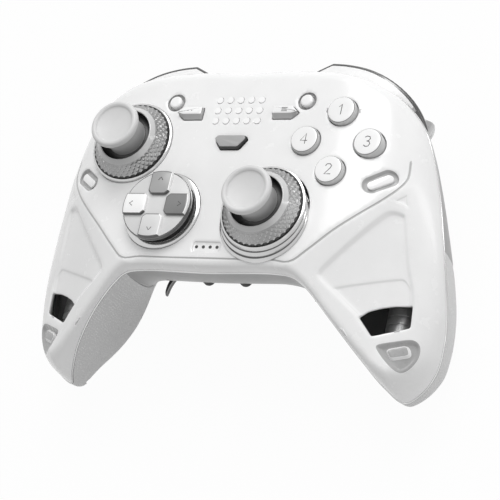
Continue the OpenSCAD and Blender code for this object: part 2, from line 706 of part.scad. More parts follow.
// Boards and power
function wider(outline) = [for (p = outline) [p[0] * stretch, p[1]]];
module main_board() color("darkgreen")
    translate([0, 0, board_z - board_t]) linear_extrude(board_t) difference() {
        polygon(wider([[-46, -8], [44, -8], [44, 40], [30, 46], [10, 46], [10, tongue_y],
            [-10, tongue_y], [-10, 46], [-30, 46], [-46, 40]]));
        for (at = screw_at) translate(at) circle(r = screw_r + slip);
    }
module button_board() color("green") translate([0, 0, shelf_z - shelf_t]) linear_extrude(shelf_t)
    polygon(wider([[-29.6, 35], [-10, 19], [54, 17], [57, 28], [50, 46], [30, 50.5], [18, 50.5],
        [17, 45.5], [-17, 45.5], [-18, 50.5], [-29.6, 50.5]]));
module dome(at, r) {
    at_xy(at) translate([0, 0, shelf_z + sheet_t - eps])
        cylinder(h = dome_z - shelf_z - sheet_t + eps, r1 = r, r2 = r * 0.6);
}
module button_membrane() color("silver") {
    translate([0, 0, shelf_z]) linear_extrude(sheet_t) difference() {
        polygon(wider([[-29, 36], [-9, 24], [9, 24], [24, 17.6], [53, 17.6], [55, 28], [49, 45],
            [30, 50], [18.5, 50], [17.5, 45], [-17.5, 45], [-18.5, 50], [-29, 50]]));
        for (at = shelf_posts) translate(at) circle(r = shelf_post_r + 0.5);
    }
    for (at = [north_at, south_at, east_at, west_at]) dome(at, 4);
    for (at = [flag_at, round_at]) for (side = [-1, 1]) dome([at[0] * side, at[1]], 2);
    dome(middle_at, 3);
}
module battery() color("slategray")
    block([-battery_w / 2, battery_from, rear_inset() - body_t + seat],
        [battery_w / 2, battery_to, board_z - board_t - slip]);
module usb_port() color("silver") {
    difference() {
        intersection() {
            usb_outline(0);
            block([-10, usb_from, -30], [10, usb_to, 0]);
        }
        translate([0, usb_wall, 0]) usb_outline(-usb_wall);
    }
    block([-3.3, usb_from + eps, usb_z - 0.35], [3.3, usb_to - 0.8, usb_z + 0.35]);
    block([-4, usb_from, board_z], [4, usb_from + 3.2, usb_z - usb_high / 2 + usb_wall / 2]);
}
module housing_screws() color("gray") for (at = screw_at) at_xy(at) difference() {
    union() {
        rod(head_z(at), head_z(at) + screw_head_t, screw_head_r);
        rod(head_z(at), -8, screw_r);
    }
    for (a = [0, 90]) rotate([0, 0, a])
        block([-1.4, -0.3, head_z(at) - 1], [1.4, 0.3, head_z(at) + 0.7]);
}
module dock_pads() color("dimgray") both() at_xy(pad_spot) rotate_extrude()
    polygon([[0, -pad_low], [pad_r - 0.7, -pad_low], [pad_r - 0.2, 0.2 - pad_low], [pad_r, 0.7 - pad_low],
        [pad_r, -pad_high], [0, -pad_high]]);

// Vibration motors
module motor(left) color("silver") mirrored(left) {
    rod_y(motor_from, motor_to, motor_at[0], motor_at[1], motor_r - 0.3);
    for (k = [0:rib_count - 1]) let (y = motor_from + 1 + rib_pitch * k)
        rod_y(y, y + 0.7 * rib_pitch, motor_at[0], motor_at[1], motor_r);
    rod_y(motor_to - eps, weight_to + 0.6, motor_at[0], motor_at[1], shaft_r);
}
module motor_weight(left) color("dimgray") mirrored(left) difference() {
    union() {
        intersection() {
            rod_y(weight_from, weight_to, motor_at[0], motor_at[1], weight_r);
            block([motor_at[0] - 6, weight_from, motor_at[1] - 6],
                [motor_at[0] + 6, weight_to, motor_at[1]]);
        }
        rod_y(weight_from, weight_to, motor_at[0], motor_at[1], 2);
    }
    rod_y(weight_from - 1, weight_to + 1, motor_at[0], motor_at[1], shaft_r + fit);
}

// Thumb sticks
function arc(mid, r, from, to, n) =
    [for (i = [0:n]) let (a = mix(from, to, i / n)) mid + r * [cos(a), sin(a)]];
function stage_steps(lift) = [[bezel_r, lift - 0.6], [bezel_r + 0.8, lift - 0.6],
    [bezel_r + 1.2, lift - 1], [bezel_r + 1.2, 0.9], [stage_r - 0.4, 0.9], [stage_r, 0.5],
    [stage_r, seat], [bezel_r, seat]];
module stick_bezel(at, lift) color("white") at_xy(at) rotate_extrude(convexity = 4) polygon(concat(
    [[neck_in, bezel_floor], [neck_in, lift + neck_top], [neck_out, lift + neck_top],
        [neck_out, lift + ring_low - slip], [ring_r + slip, lift + ring_low - slip],
        [ring_r + slip, lift + 0.8], [bezel_r - 0.5, lift + 0.8], [bezel_r, lift + 0.3]],
    lift > 0 ? stage_steps(lift) : [],
    [[bezel_r, bezel_low], [bezel_r - 1.6, bezel_low], [bezel_r - 1.6, bezel_floor]]));
module at_stick(at, lift) { translate([at[0], at[1], lift]) children(); }
module tension_ring(at, lift) color("silver") at_stick(at, lift) rotate_extrude(convexity = 4)
    polygon([[neck_out + fit, ring_low], [ring_r, ring_low], [ring_r, ring_edge],
        [mouth_r + 0.7, ring_h - 0.2], [mouth_r + 0.4, ring_h], [mouth_r, ring_h - 0.3],
        [mouth_r, ring_h - 1.6], [neck_in, neck_top + slip], [neck_out + fit, neck_top + slip]]);
module stick_module(at, lift) color("darkslategray") at_xy(at) difference() {
    block([-module_w / 2, -module_w / 2, board_z], [module_w / 2, module_w / 2, module_top + lift]);
    block([-6.8, -6.8, board_z + 1.2], [6.8, 6.8, module_top + lift - 1.2]);
    rod(pivot_z + lift, lift, 6.2);
    rod_x(-8, 8, 0, pivot_z + lift, 0.85 + fit);
}
module stick_rocker(at, lift) color("gray") at_stick(at, lift) difference() {
    union() {
        block([-5.5, -4.2, pivot_z - 1.6], [5.5, 4.2, pivot_z + 1.6]);
        rod_x(-7.6, 7.6, 0, pivot_z, 0.85);
    }
    block([-3.6, -2.8, pivot_z - 3], [3.6, 2.8, pivot_z + 3]);
    rod_y(-6, 6, 0, pivot_z, 0.8 + fit);
}
module stick_pivot(at, lift) color("white") at_stick(at, lift) difference() {
    union() {
        block([-2.5, -2.5, pivot_z - 2.2], [2.5, 2.5, pivot_z + 2.2]);
        rod_y(-4, 4, 0, pivot_z, 0.8);
    }
    rod(pivot_z - 3, pivot_z + 3, lever_r + fit);
}
module stick_lever(at, lift) color("dimgray") at_stick(at, lift) {
    rod(pivot_z - 2.6, pivot_z + 4, lever_r);
    rod(pivot_z + 2.2 + click + slip, -4, 2.5);
    rod(-4 - eps, lever_top - seat, 2);
}
module stick_cap(at, lift) color("gainsboro") at_stick(at, lift) difference() {
    inner_r = skirt_r - skirt_t;
    rotate_extrude() polygon(concat(
        [[0, -4], [2.8, -4], [stem_r, -1.8]],
        arc([0, pivot_z], inner_r, 90 - asin(stem_r / inner_r), 90 - skirt_edge, 8),
        arc([0, pivot_z], skirt_r, 90 - skirt_edge, 90 - asin(barrel_r / skirt_r), 6),
        [[barrel_r, ring_h + 0.6], [barrel_r + 0.3, cap_h - 6.2], [cap_r - 1.6, cap_h - 5]],
        arc([cap_r - 1.3, cap_h - 3.4], 1.3, -50, 0, 3),
        arc([cap_r - cap_edge, cap_h - cap_edge], cap_edge, 0, 115, 6),
        [[cap_r * 0.45, cap_h - 0.75], [0, cap_h - 1]]));
    rod(-4 - eps, lever_top, 2 + fit);
}

// Direction disc
module dpad_base() color("silver") at_xy(dpad_at) difference() {
    union() {
        rotate_extrude(convexity = 4) polygon([[5.6, -3.2], [5.6, -1.8], [dpad_r - 1, -1.8],
            [dpad_r - 1, 0.3], [dpad_r - 0.6, 0.6], [dpad_base_r - 0.5, 0.6], [dpad_base_r, 0.1],
            [dpad_base_r, -3.2]]);
        for (side = [-1, 1])
            block([side * 6 - 0.8, -2.4, dpad_pivot_z - 1.6], [side * 6 + 0.8, 2.4, -1.8 - eps]);
    }
    rod_x(-7, 7, 0, dpad_pivot_z, 0.8 + fit);
}
module dpad_rocker() color("gray") at_xy(dpad_at) difference() {
    union() {
        block([-4.6, -3.8, dpad_pivot_z - 1.4], [4.6, 3.8, dpad_pivot_z + 1.4]);
        rod_x(-6.6, 6.6, 0, dpad_pivot_z, 0.8);
    }
    block([-2.8, -2.5, dpad_pivot_z - 2], [2.8, 2.5, dpad_pivot_z + 2]);
    rod_y(-6, 6, 0, dpad_pivot_z, 0.75 + fit);
}
module dpad_disc() color("lightgray") at_xy(dpad_at) {
    rotate_extrude() polygon([[0, dpad_h - dpad_disc_t], [dpad_r - 1, dpad_h - dpad_disc_t],
        [dpad_r, dpad_h - dpad_disc_t + 0.8], [dpad_r, dpad_h - 0.5], [dpad_r - 0.5, dpad_h],
        [0, dpad_h]]);
    rod(dpad_pivot_z - 1.5, dpad_h - dpad_disc_t + eps, dpad_post_r);
    rod_y(-3.6, 3.6, 0, dpad_pivot_z, 0.75);
}
module dpad_pad(turn, tint) color(tint) at_xy(dpad_at) rotate([0, 0, turn]) intersection() {
    translate([0, 0, dpad_h]) linear_extrude(pad_t)
        polygon([[pad_inner, pad_nip - pad_half], [pad_inner + pad_nip, -pad_half], [dpad_r, -pad_half],
            [dpad_r, pad_half], [pad_inner + pad_nip, pad_half], [pad_inner, pad_half - pad_nip]]);
    rod(0, 20, dpad_r - pad_edge);
}

// Buttons
module face_button(at) color("whitesmoke") at_xy(at) let (
    top = local_z(at) + button_h,
    r = button_d / 2,
    ledge = flange_z(at, r))
    rotate_extrude() polygon(concat(
        [[0, stem_z], [2.4, stem_z], [2.4, ledge - flange_t], [r + flange_out, ledge - flange_t],
            [r + flange_out, ledge], [r, ledge]],
        arc([r - 0.6, top - 0.6], 0.6, 0, 90, 4),
        [[0, top]]));
module flat_button(height, reach) {
    translate([0, 0, -wall - seat - eps]) linear_extrude(height + wall + seat + eps) children(0);
    translate([0, 0, -wall - seat - flange_t]) linear_extrude(flange_t) children(1);
    rod(stem_z, -wall - seat - flange_t + eps, reach);
}
module flag_button(left) color("white") mirrored(left) at_xy(flag_at) flat_button(flag_h, 1.8) {
    polygon(flag(0));
    polygon(flag(flange_out));
}
module middle_button() color("dimgray") at_xy(middle_at) flat_button(tab_h, 2) {
    polygon(tab(0));
    polygon(tab(flange_out));
}
module round_button(left) color("white") mirrored(left) at_xy(round_at) rotate_extrude() polygon(concat(
    [[0, stem_z], [1.6, stem_z], [1.6, -wall - seat - flange_t],
        [round_d / 2 + flange_out, -wall - seat - flange_t],
        [round_d / 2 + flange_out, -wall - seat], [round_d / 2, -wall - seat]],
    arc([round_d / 2 - 0.8, round_h - 0.8], 0.8, 0, 90, 4),
    [[0, round_h]]));

// Shoulders
module bumper(left) {
    line = seam_curve(bumper_from, bumper_to, bumper_steps);
    n = len(line);
    function reach(i) = bumper_out * min(bumper_start + bumper_rise * i,
        1 - bumper_fall * pow(max(0, i - bumper_peak), bumper_bend));
    function upper(p) = min(bumper_top, p[2] - trim_h - bumper_under_trim);
    function section(i) = let (top = upper(line[i]), high = top - bumper_low, out = reach(i),
        low_nip = min(1.2, 0.25 * high), top_nip = min(0.8, 0.4 * high))
        [[-bumper_in, bumper_low], [out - low_nip, bumper_low], [out, bumper_low + low_nip],
            [out, top - top_nip], [out - top_nip * 0.7, top], [-bumper_in, top]];
    color("silver") mirrored(left) difference() {
        union() {
            follow_seam(line, [for (i = [0:n - 1]) section(i)]);
            at_xy(bumper_pin) rod(bumper_low, bumper_top, bumper_eye_r);
        }
        at_xy(bumper_pin) rod(bumper_low - 1, 0, bumper_pin_r + fit);
    }
}
module trigger(left) color("silver") mirrored(left) trigger_frame() difference() {
    union() {
        intersection() {
            union() {
                side_profile(-trigger_w / 2, trigger_w / 2)
                    polygon(hung(concat(trigger_front, trigger_inner)));
                for (x = [-trigger_w / 2, trigger_w / 2 - cheek_t])
                    side_profile(x, x + cheek_t) polygon(hung(concat(trigger_front, trigger_cheek)));
            }
            translate([-trigger_skew, trigger_reach - trigger_sweep, 0]) rod(-80, 0, trigger_sweep);
            rotate([90, 0, 0]) linear_extrude(2 * trigger_w, center = true)
                polygon(hung([for (p = trigger_end) [p[0] * (trigger_w / 2 + eps), p[1]]]));
        }
        side_profile(-arm_w / 2, arm_w / 2) polygon(arm_outline);
        rod_x(-arm_w / 2, arm_w / 2, 0, trigger_z, lug_r);
    }
    rod_x(-20, 20, 0, trigger_z, trigger_pin_r + fit);
}
module trigger_bracket(left) color("darkgray") mirrored(left) trigger_frame() {
    block([-trigger_w / 2, slip - bay_in, -28], [trigger_w / 2, 2 - bay_in, bay_top - seat]);
    for (side = [-1, 1]) {
        x = side * (arm_w / 2 + slip + lug_t / 2);
        block([x - lug_t / 2, slip - bay_in, trigger_z - 2], [x + lug_t / 2, 0, bay_top - seat]);
        rod_x(x - lug_t / 2, x + lug_t / 2, 0, trigger_z, lug_r);
    }
    rod_x(-arm_w / 2 - lug_t, arm_w / 2 + lug_t, 0, trigger_z, trigger_pin_r);
}

// Back paddles
module paddle(left) {
    n = paddle_steps;
    function spot(t) = [mix((paddle_x[0] + paddle_x[1]) / 2, paddle_tip[0], pow(sin(90 * t), 2)),
        mix(paddle_axis[0], paddle_tip[1], t), mix(paddle_axis[1], paddle_tip[2], t * t)];
    points = [for (i = [0:n]) let (p = spot(i / n), w = mix(paddle_half_w[0], paddle_half_w[1], i / n))
        for (q = [[-w, -1], [w, -1], [w, 1], [-w, 1]]) p + [q[0], 0, q[1] * paddle_t / 2]];
    sides = [for (i = [0:n - 1]) for (k = [0:3]) let (j = (k + 1) % 4) each [
        [i * 4 + k, (i + 1) * 4 + j, i * 4 + j],
        [i * 4 + k, (i + 1) * 4 + k, (i + 1) * 4 + j]]];
    ends = [[0, 1, 2], [0, 2, 3], [4 * n, 4 * n + 2, 4 * n + 1], [4 * n, 4 * n + 3, 4 * n + 2]];
    color("silver") mirrored(left) difference() {
        union() {
            polyhedron(points, concat(sides, ends));
            rod_x(paddle_x[0], paddle_x[1], paddle_axis[0], paddle_axis[1], paddle_eye_r);
        }
        rod_x(paddle_x[0] - 1, paddle_x[1] + 1, paddle_axis[0], paddle_axis[1], paddle_pin_r + fit);
    }
}

onto_table() {
    front_shell();
    rear_shell();
    trim_band();
    grip_cover(true);  // left_grip_cover
    grip_cover(false);  // right_grip_cover
    window(true);  // left_window
    window(false);  // right_window
    side_lenses();
    light_guide();
    indicator_strip();
    main_board();
    button_board();
    button_membrane();
    battery();
    usb_port();
    housing_screws();
    dock_pads();
    stick_bezel(left_stick, 0);  // left_stick_bezel
    stick_bezel(right_stick, stage_h);  // right_stick_bezel
    stick_module(left_stick, 0);  // left_stick_module
    stick_module(right_stick, stage_h);  // right_stick_module
    dpad_base();
    trigger_bracket(true);  // left_trigger_bracket
    trigger_bracket(false);  // right_trigger_bracket
    motor(true);  // left_motor
    motor(false);  // right_motor
    tension_ring(left_stick, 0);  // left_tension_ring
    tension_ring(right_stick, stage_h);  // right_tension_ring
    stick_rocker(left_stick, 0);  // left_stick_rocker
    stick_rocker(right_stick, stage_h);  // right_stick_rocker
    stick_pivot(left_stick, 0);  // left_stick_pivot
    stick_pivot(right_stick, stage_h);  // right_stick_pivot
    stick_lever(left_stick, 0);  // left_stick_lever
    stick_lever(right_stick, stage_h);  // right_stick_lever
    stick_cap(left_stick, 0);  // left_stick_cap
    stick_cap(right_stick, stage_h);  // right_stick_cap
    dpad_rocker();
    dpad_disc();
    dpad_pad(90, "gray");  // dpad_up_pad
    dpad_pad(270, "silver");  // dpad_down_pad
    dpad_pad(180, "white");  // dpad_left_pad
    dpad_pad(0, "dimgray");  // dpad_right_pad
    face_button(north_at);  // north_button
    face_button(south_at);  // south_button
    face_button(east_at);  // east_button
    face_button(west_at);  // west_button
    flag_button(true);  // select_button
    flag_button(false);  // start_button
    middle_button();
    round_button(true);  // left_round_button
    round_button(false);  // right_round_button
    bumper(true);  // left_bumper
    bumper(false);  // right_bumper
    trigger(true);  // left_trigger
    trigger(false);  // right_trigger
    paddle(true);  // left_paddle
    paddle(false);  // right_paddle
    motor_weight(true);  // left_motor_weight
    motor_weight(false);  // right_motor_weight
}
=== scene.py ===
"""Studio dress of a game controller: shells, sticks, buttons, shoulders and their finishes."""
import logging
import math
from dataclasses import dataclass, field
from enum import Enum
from typing import Callable, Optional, Sequence, Union

import bmesh
import bpy
import numpy as np
from mathutils import Matrix, Vector
from mathutils.geometry import delaunay_2d_cdt


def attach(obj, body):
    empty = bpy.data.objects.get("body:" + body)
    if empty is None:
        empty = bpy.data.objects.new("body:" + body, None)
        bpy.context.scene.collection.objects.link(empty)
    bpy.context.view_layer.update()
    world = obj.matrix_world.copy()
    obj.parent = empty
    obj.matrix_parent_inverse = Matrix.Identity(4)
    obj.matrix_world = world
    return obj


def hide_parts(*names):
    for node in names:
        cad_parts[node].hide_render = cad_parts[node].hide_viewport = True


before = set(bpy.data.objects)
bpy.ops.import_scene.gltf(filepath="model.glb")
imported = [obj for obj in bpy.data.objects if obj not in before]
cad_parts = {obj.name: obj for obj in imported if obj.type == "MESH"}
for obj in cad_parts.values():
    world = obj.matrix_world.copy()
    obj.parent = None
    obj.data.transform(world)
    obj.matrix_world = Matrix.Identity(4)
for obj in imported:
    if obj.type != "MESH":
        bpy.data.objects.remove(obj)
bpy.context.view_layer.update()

MM = 0.001
HOUSING = "housing"
WELD = 2e-6
Colour = tuple[float, float, float]
Array = np.ndarray
log = logging.getLogger("controller")


class Side(Enum):
    """Side of the controller as its player sees it."""

    LEFT = -1
    RIGHT = 1

    @property
    def word(self) -> str:
        """Name of the side inside node and body names."""
        return self.name.lower()


def grey(level: float, warm: float = 0.0) -> Colour:
    """Linear colour of a display grey.

    Args:
        level: display grey from 0 to 255.
        warm: how far red rises and blue falls, in the same steps.

    Returns:
        The linear red, green and blue.
    """
    def linear(value: float) -> float:
        """Linear value of one display step."""
        share = value / 255
        return share / 12.92 if share <= 0.04045 else ((share + 0.055) / 1.055) ** 2.4
    return linear(level + warm), linear(level), linear(level - warm)


# Shader graphs


class Signal:
    """Output socket that takes part in Python arithmetic."""

    def __init__(self, graph: "Graph", socket: bpy.types.NodeSocket) -> None:
        """Keep the socket with the graph that owns it."""
        self.graph = graph
        self.socket = socket

    def maths(self, operation: str, *others: "Level") -> "Signal":
        """Add a Math node.

        Args:
            operation: name of the Math operation.
            others: the operands, in order.

        Returns:
            The result.
        """
        return self.graph.node("ShaderNodeMath", {"operation": operation}, dict(enumerate(others)))

    def __add__(self, other: "Level") -> "Signal":
        """Sum."""
        return self.maths("ADD", self, other)

    __radd__ = __add__

    def __sub__(self, other: "Level") -> "Signal":
        """Difference."""
        return self.maths("SUBTRACT", self, other)

    def __rsub__(self, other: "Level") -> "Signal":
        """Difference from a number."""
        return self.maths("SUBTRACT", other, self)

    def __mul__(self, other: "Level") -> "Signal":
        """Product."""
        return self.maths("MULTIPLY", self, other)

    __rmul__ = __mul__

    def __truediv__(self, other: "Level") -> "Signal":
        """Quotient."""
        return self.maths("DIVIDE", self, other)

    def band(self, low: float, high: float) -> "Signal":
        """Smooth rise from 0 at low to 1 at high."""
        settings = {"interpolation_type": "SMOOTHSTEP"}
        return self.graph.node("ShaderNodeMapRange", settings,
                               {"Value": self, "From Min": low, "From Max": high})


Level = Union[Signal, float]


class Graph:
    """Node tree of one material."""

    def __init__(self, name: str) -> None:
        """Start an empty material of that name."""
        self.material = bpy.data.materials.new(name)
        self.material.use_nodes = True
        self.tree = self.material.node_tree
        self.tree.nodes.clear()
        self.output = self.tree.nodes.new("ShaderNodeOutputMaterial")

    def node(self, kind: str, settings: Optional[dict] = None, inputs: Optional[dict] = None,
             out: Union[int, str] = 0) -> Signal:
        """Add a node, set it up and feed it.

        Args:
            kind: Blender's name of the node type.
            settings: properties set before the sockets; "stops" fills a colour ramp.
            inputs: values or signals by socket name or place.
            out: the output that is wanted.

        Returns:
            That output.
        """
        made = self.tree.nodes.new(kind)
        for key, value in (settings or {}).items():
            if key == "stops":
                self._fill_ramp(made.color_ramp, value)
            else:
                setattr(made, key, value)
        for key, value in (inputs or {}).items():
            self.feed(made.inputs[key], value)
        return Signal(self, made.outputs[out])

    @staticmethod
    def _fill_ramp(ramp_data: bpy.types.ColorRamp, stops: Sequence[tuple[float, Colour]]) -> None:
        """Put the stops into a colour ramp."""
        while len(ramp_data.elements) < len(stops):
            ramp_data.elements.new(1.0)
        for element, (place, colour) in zip(ramp_data.elements, stops):
            element.position = place
            element.color = (*colour, 1.0)

    def feed(self, socket: bpy.types.NodeSocket, value: Union[Signal, float, Sequence[float]]) -> None:
        """Link a signal to a socket, or set its value."""
        if isinstance(value, Signal):
            self.tree.links.new(value.socket, socket)
        elif isinstance(value, (tuple, list)) and len(socket.default_value) == len(value) + 1:
            socket.default_value = (*value, 1.0)
        else:
            socket.default_value = value

    def place(self, stretch: Sequence[float] = (1, 1, 1)) -> Signal:
        """Place on the piece in metres, times a stretch along each axis."""
        spot = self.node("ShaderNodeTexCoord", out="Object")
        return self.node("ShaderNodeVectorMath", {"operation": "MULTIPLY"}, {0: spot, 1: tuple(stretch)})

    def noise(self, spot: Signal, scale: float, detail: float = 3.0, rough: float = 0.5) -> Signal:
        """Noise around a half, with cells of one over the scale."""
        return self.node("ShaderNodeTexNoise", {},
                         {"Vector": spot, "Scale": scale, "Detail": detail, "Roughness": rough}, "Fac")

    def blend(self, share: Level, low: Union[Signal, Colour], high: Union[Signal, Colour]) -> Signal:
        """Mix of two colours."""
        return self.node("ShaderNodeMix", {"data_type": "RGBA"},
                         {"Factor": share, 6: low, 7: high}, 2)

    def bump(self, height: Signal, strength: float, depth: float) -> Signal:
        """Normal of a fine relief."""
        return self.node("ShaderNodeBump", {}, {"Strength": strength, "Distance": depth, "Height": height})

    def surface(self, inputs: dict) -> Signal:
        """Principled surface with these inputs."""
        return self.node("ShaderNodeBsdfPrincipled", {}, inputs)

    def close(self, shader: Signal) -> bpy.types.Material:
        """Send the shader to the output and hand back the material."""
        self.feed(self.output.inputs["Surface"], shader)
        return self.material


# Finishes


@dataclass(frozen=True)
class Finish:
    """Moulded plastic with a slow tone drift, a fine grain and slightly worn gloss."""

    name: str
    colour: Colour
    shade: Colour
    rough: float = 0.3
    rough_drift: float = 0.08
    metal: float = 0.0
    coat: float = 0.0
    grain_size: float = 0.25
    grain_depth: float = 0.004
    specular: float = 0.5
    rubbed: float = 1.12

    def tone(self, graph: Graph, spot: Signal) -> Signal:
        """Colour over the piece: two close tones in broad clouds, lighter on its edges as rubbed wear, and as
        a painted glint where that lift is strong.
        """
        clouds = graph.noise(spot, 45, 4).band(0.3, 0.7)
        edge = graph.node("ShaderNodeNewGeometry", out="Pointiness").band(0.52, 0.6)
        bare_and_glint = tuple(min(1.0, self.rubbed * level) for level in self.colour)
        return graph.blend(edge * 0.5, graph.blend(clouds, self.shade, self.colour), bare_and_glint)

    def relief(self, graph: Graph, spot: Signal) -> Signal:
        """Height of the moulding grain."""
        return graph.noise(spot, 1 / (self.grain_size * MM), 2)

    def gloss(self, graph: Graph, spot: Signal) -> Signal:
        """Roughness with handling marks."""
        marks = graph.noise(spot, 160, 5, 0.6)
        return self.rough + (marks - 0.5) * (2 * self.rough_drift)

    def make(self) -> bpy.types.Material:
        """Material of the finish, made once.

        Returns:
            The material.
        """
        known = bpy.data.materials.get(self.name)
        if known:
            return known
        graph = Graph(self.name)
        spot = graph.place()
        return graph.close(graph.surface({
            "Base Color": self.tone(graph, spot),
            "Roughness": self.gloss(graph, spot),
            "Metallic": self.metal,
            "Coat Weight": self.coat,
            "Coat Roughness": 0.08,
            "Specular IOR Level": self.specular,
            "Normal": graph.bump(self.relief(graph, spot), 0.5, self.grain_depth * MM)}))


@dataclass(frozen=True)
class BrushedMetal(Finish):
    """Bright metal with fine turning lines."""

    lines: tuple[float, float, float] = (1, 1, 12)

    def relief(self, graph: Graph, spot: Signal) -> Signal:
        """Height of the turning lines."""
        return graph.noise(graph.place(self.lines), 900, 3)


@dataclass(frozen=True)
class StippledGrip(Finish):
    """Grip cover with a close field of small round bumps."""

    pitch: float = 0.75

    def relief(self, graph: Graph, spot: Signal) -> Signal:
        """Height of the bumps with a little of the moulding grain."""
        cells = graph.node("ShaderNodeTexVoronoi", {"feature": "SMOOTH_F1"},
                           {"Vector": spot, "Scale": 1 / (self.pitch * MM), "Smoothness": 0.3,
                            "Randomness": 0.55}, "Distance")
        return (1 - cells.band(0.05, 0.6)) + 0.2 * super().relief(graph, spot)

    def tone(self, graph: Graph, spot: Signal) -> Signal:
        """Tone that is lighter on the crowns of the bumps, with painted shade in the hollows between them."""
        crowns = self.relief(graph, spot).band(0.4, 1.1)
        return graph.blend(crowns, self.shade, super().tone(graph, spot))


@dataclass(frozen=True)
class SmokedPane(Finish):
    """Dark pane that lets a little light through."""

    clear: float = 0.96

    def make(self) -> bpy.types.Material:
        """Material of the pane, made once."""
        known = bpy.data.materials.get(self.name)
        if known:
            return known
        graph = Graph(self.name)
        spot = graph.place()
        pane = graph.surface({
            "Base Color": self.tone(graph, spot), "Roughness": self.gloss(graph, spot),
            "Coat Weight": self.coat,
            "Normal": graph.bump(self.relief(graph, spot), 0.3, self.grain_depth * MM)})
        through = graph.node("ShaderNodeBsdfTransparent", {}, {"Color": grey(240)})
        streak = graph.noise(spot, 60, 2).band(0.2, 0.8)
        share = self.clear * (0.9 + 0.1 * streak)
        return graph.close(graph.node("ShaderNodeMixShader", {}, {0: share, 1: pane, 2: through}))


@dataclass(frozen=True)
class CircuitBoard(Finish):
    """Lacquered board with copper tracks under the lacquer."""

    def tone(self, graph: Graph, spot: Signal) -> Signal:
        """Green lacquer, lighter over the tracks."""
        tracks = graph.node("ShaderNodeTexBrick", {"offset": 0.37},
                            {"Vector": spot, "Scale": 110.0, "Mortar Size": 0.06, "Color1": (0, 0, 0),
                             "Color2": (0, 0, 0), "Mortar": (1, 1, 1)}, "Fac")
        return graph.blend(tracks, self.colour, self.shade)


WHITE = Finish("white_shell", grey(242), grey(237), 0.26, 0.05, coat=0.25, rubbed=1.0)
CAP_WHITE = Finish("button_white", grey(246), grey(240), 0.22, 0.05, coat=0.3)
GREY = Finish("grey_shell", grey(154), grey(144), 0.36, 0.07, coat=0.1)
# Grey of the membrane and the stick pivots, also painted shade on the floors of the oval lamp pockets.
POCKET_GREY_AND_SHADE = Finish("pocket_grey", grey(190), grey(180), 0.34, 0.06)
GRIP = StippledGrip("stippled_grip", grey(252), grey(216), 0.5, 0.08, grain_depth=0.16)
BRIGHT = BrushedMetal("bright_metal", grey(208), grey(190), 0.16, 0.06, metal=1.0, grain_depth=0.002)
# Dark chrome of the paddles and the bumper fronts, and painted shade on the direction disc's side.
CHROME_AND_SHADE = BrushedMetal("dark_chrome", grey(112), grey(92), 0.14, 0.05, metal=1.0, grain_depth=0.001)
LEVER = Finish("lever_grey", grey(186), grey(172), 0.24, 0.05, coat=0.3)
# Painted sheen on the smooth part of the stick collars, and painted shade on the sides of the face buttons.
SILVER_SHEEN_AND_SHADE = Finish("silver_lacquer", grey(206), grey(192), 0.18, 0.05, coat=0.4)
# Painted shade in the teardrop pockets on the grips.
PAINTED_POCKET_SHADE = Finish("sunk_grey", grey(176), grey(164), 0.28, 0.06)
FOOT = Finish("foot_grey", grey(186), grey(174), 0.3, 0.06)
MOTOR = BrushedMetal("motor_can", grey(250), grey(190), 0.3, 0.08, metal=0.5, grain_depth=0.05,
                     lines=(0.2, 3, 0.2))
# Painted shade round the small round buttons and as the shadow line along the bumpers.
PAINTED_GAP_SHADE = Finish("seat_grey", grey(150), grey(138), 0.3, 0.06)
# Painted shade in the pressed line across the face.
PAINTED_CREASE_SHADE = Finish("pressed_line", grey(186), grey(178), 0.3, 0.06)
# Painted shade: undersides, gaps, button edges and the sides of the direction pads.
PAINTED_SHADE = Finish("pad_side", grey(96), grey(84), 0.3, 0.06)
# Knurled steel, also on the screws and weights: its strong edge lift paints edges and knurl tips near white,
# partly wear and partly painted glint.
STEEL = BrushedMetal("knurled_steel", grey(168), grey(140), 0.3, 0.1, metal=1.0, grain_depth=0.01, rubbed=2.4,
                     lines=(3, 3, 1))
BARREL = Finish("barrel_grey", grey(186), grey(176), 0.45, 0.06, grain_size=0.12, grain_depth=0.012)
SOFT = Finish("soft_touch", grey(216), grey(208), 0.5, 0.06, grain_size=0.12, grain_depth=0.012)
DARK = Finish("dark_plastic", grey(64), grey(52), 0.4, 0.08)
MARK = Finish("mark_ink", grey(70), grey(56), 0.45, 0.08)
# Painted reflections on the four tilted direction pads; the pale grey is also the disc's top, the mid grey
# the middle button's top, the white the pads' painted highlight.
REFLECTION_WHITE = Finish("pad_white", grey(250), grey(244), 0.3, 0.05)
PALE_AND_REFLECTION = Finish("pad_pale", grey(220), grey(214), 0.32, 0.05)
MID_AND_REFLECTION = Finish("pad_mid", grey(172), grey(164), 0.32, 0.05)
REFLECTION_DARK = Finish("pad_dark", grey(132), grey(124), 0.32, 0.05)
SMOKE = SmokedPane("smoked_pane", grey(22), grey(16), 0.12, 0.04, coat=0.3)
LENS = Finish("lens_white", grey(250), grey(242), 0.12, 0.04, coat=0.5)
BOARD = CircuitBoard("circuit_board", (0.01, 0.07, 0.03), (0.03, 0.16, 0.06), 0.35, 0.08)
CELL = Finish("cell_wrap", grey(90), grey(78), 0.4, 0.1, grain_size=0.6, grain_depth=0.03)
RUBBER = Finish("rubber", grey(60), grey(50), 0.7, 0.08, grain_size=0.15, grain_depth=0.02)


# Flat outlines


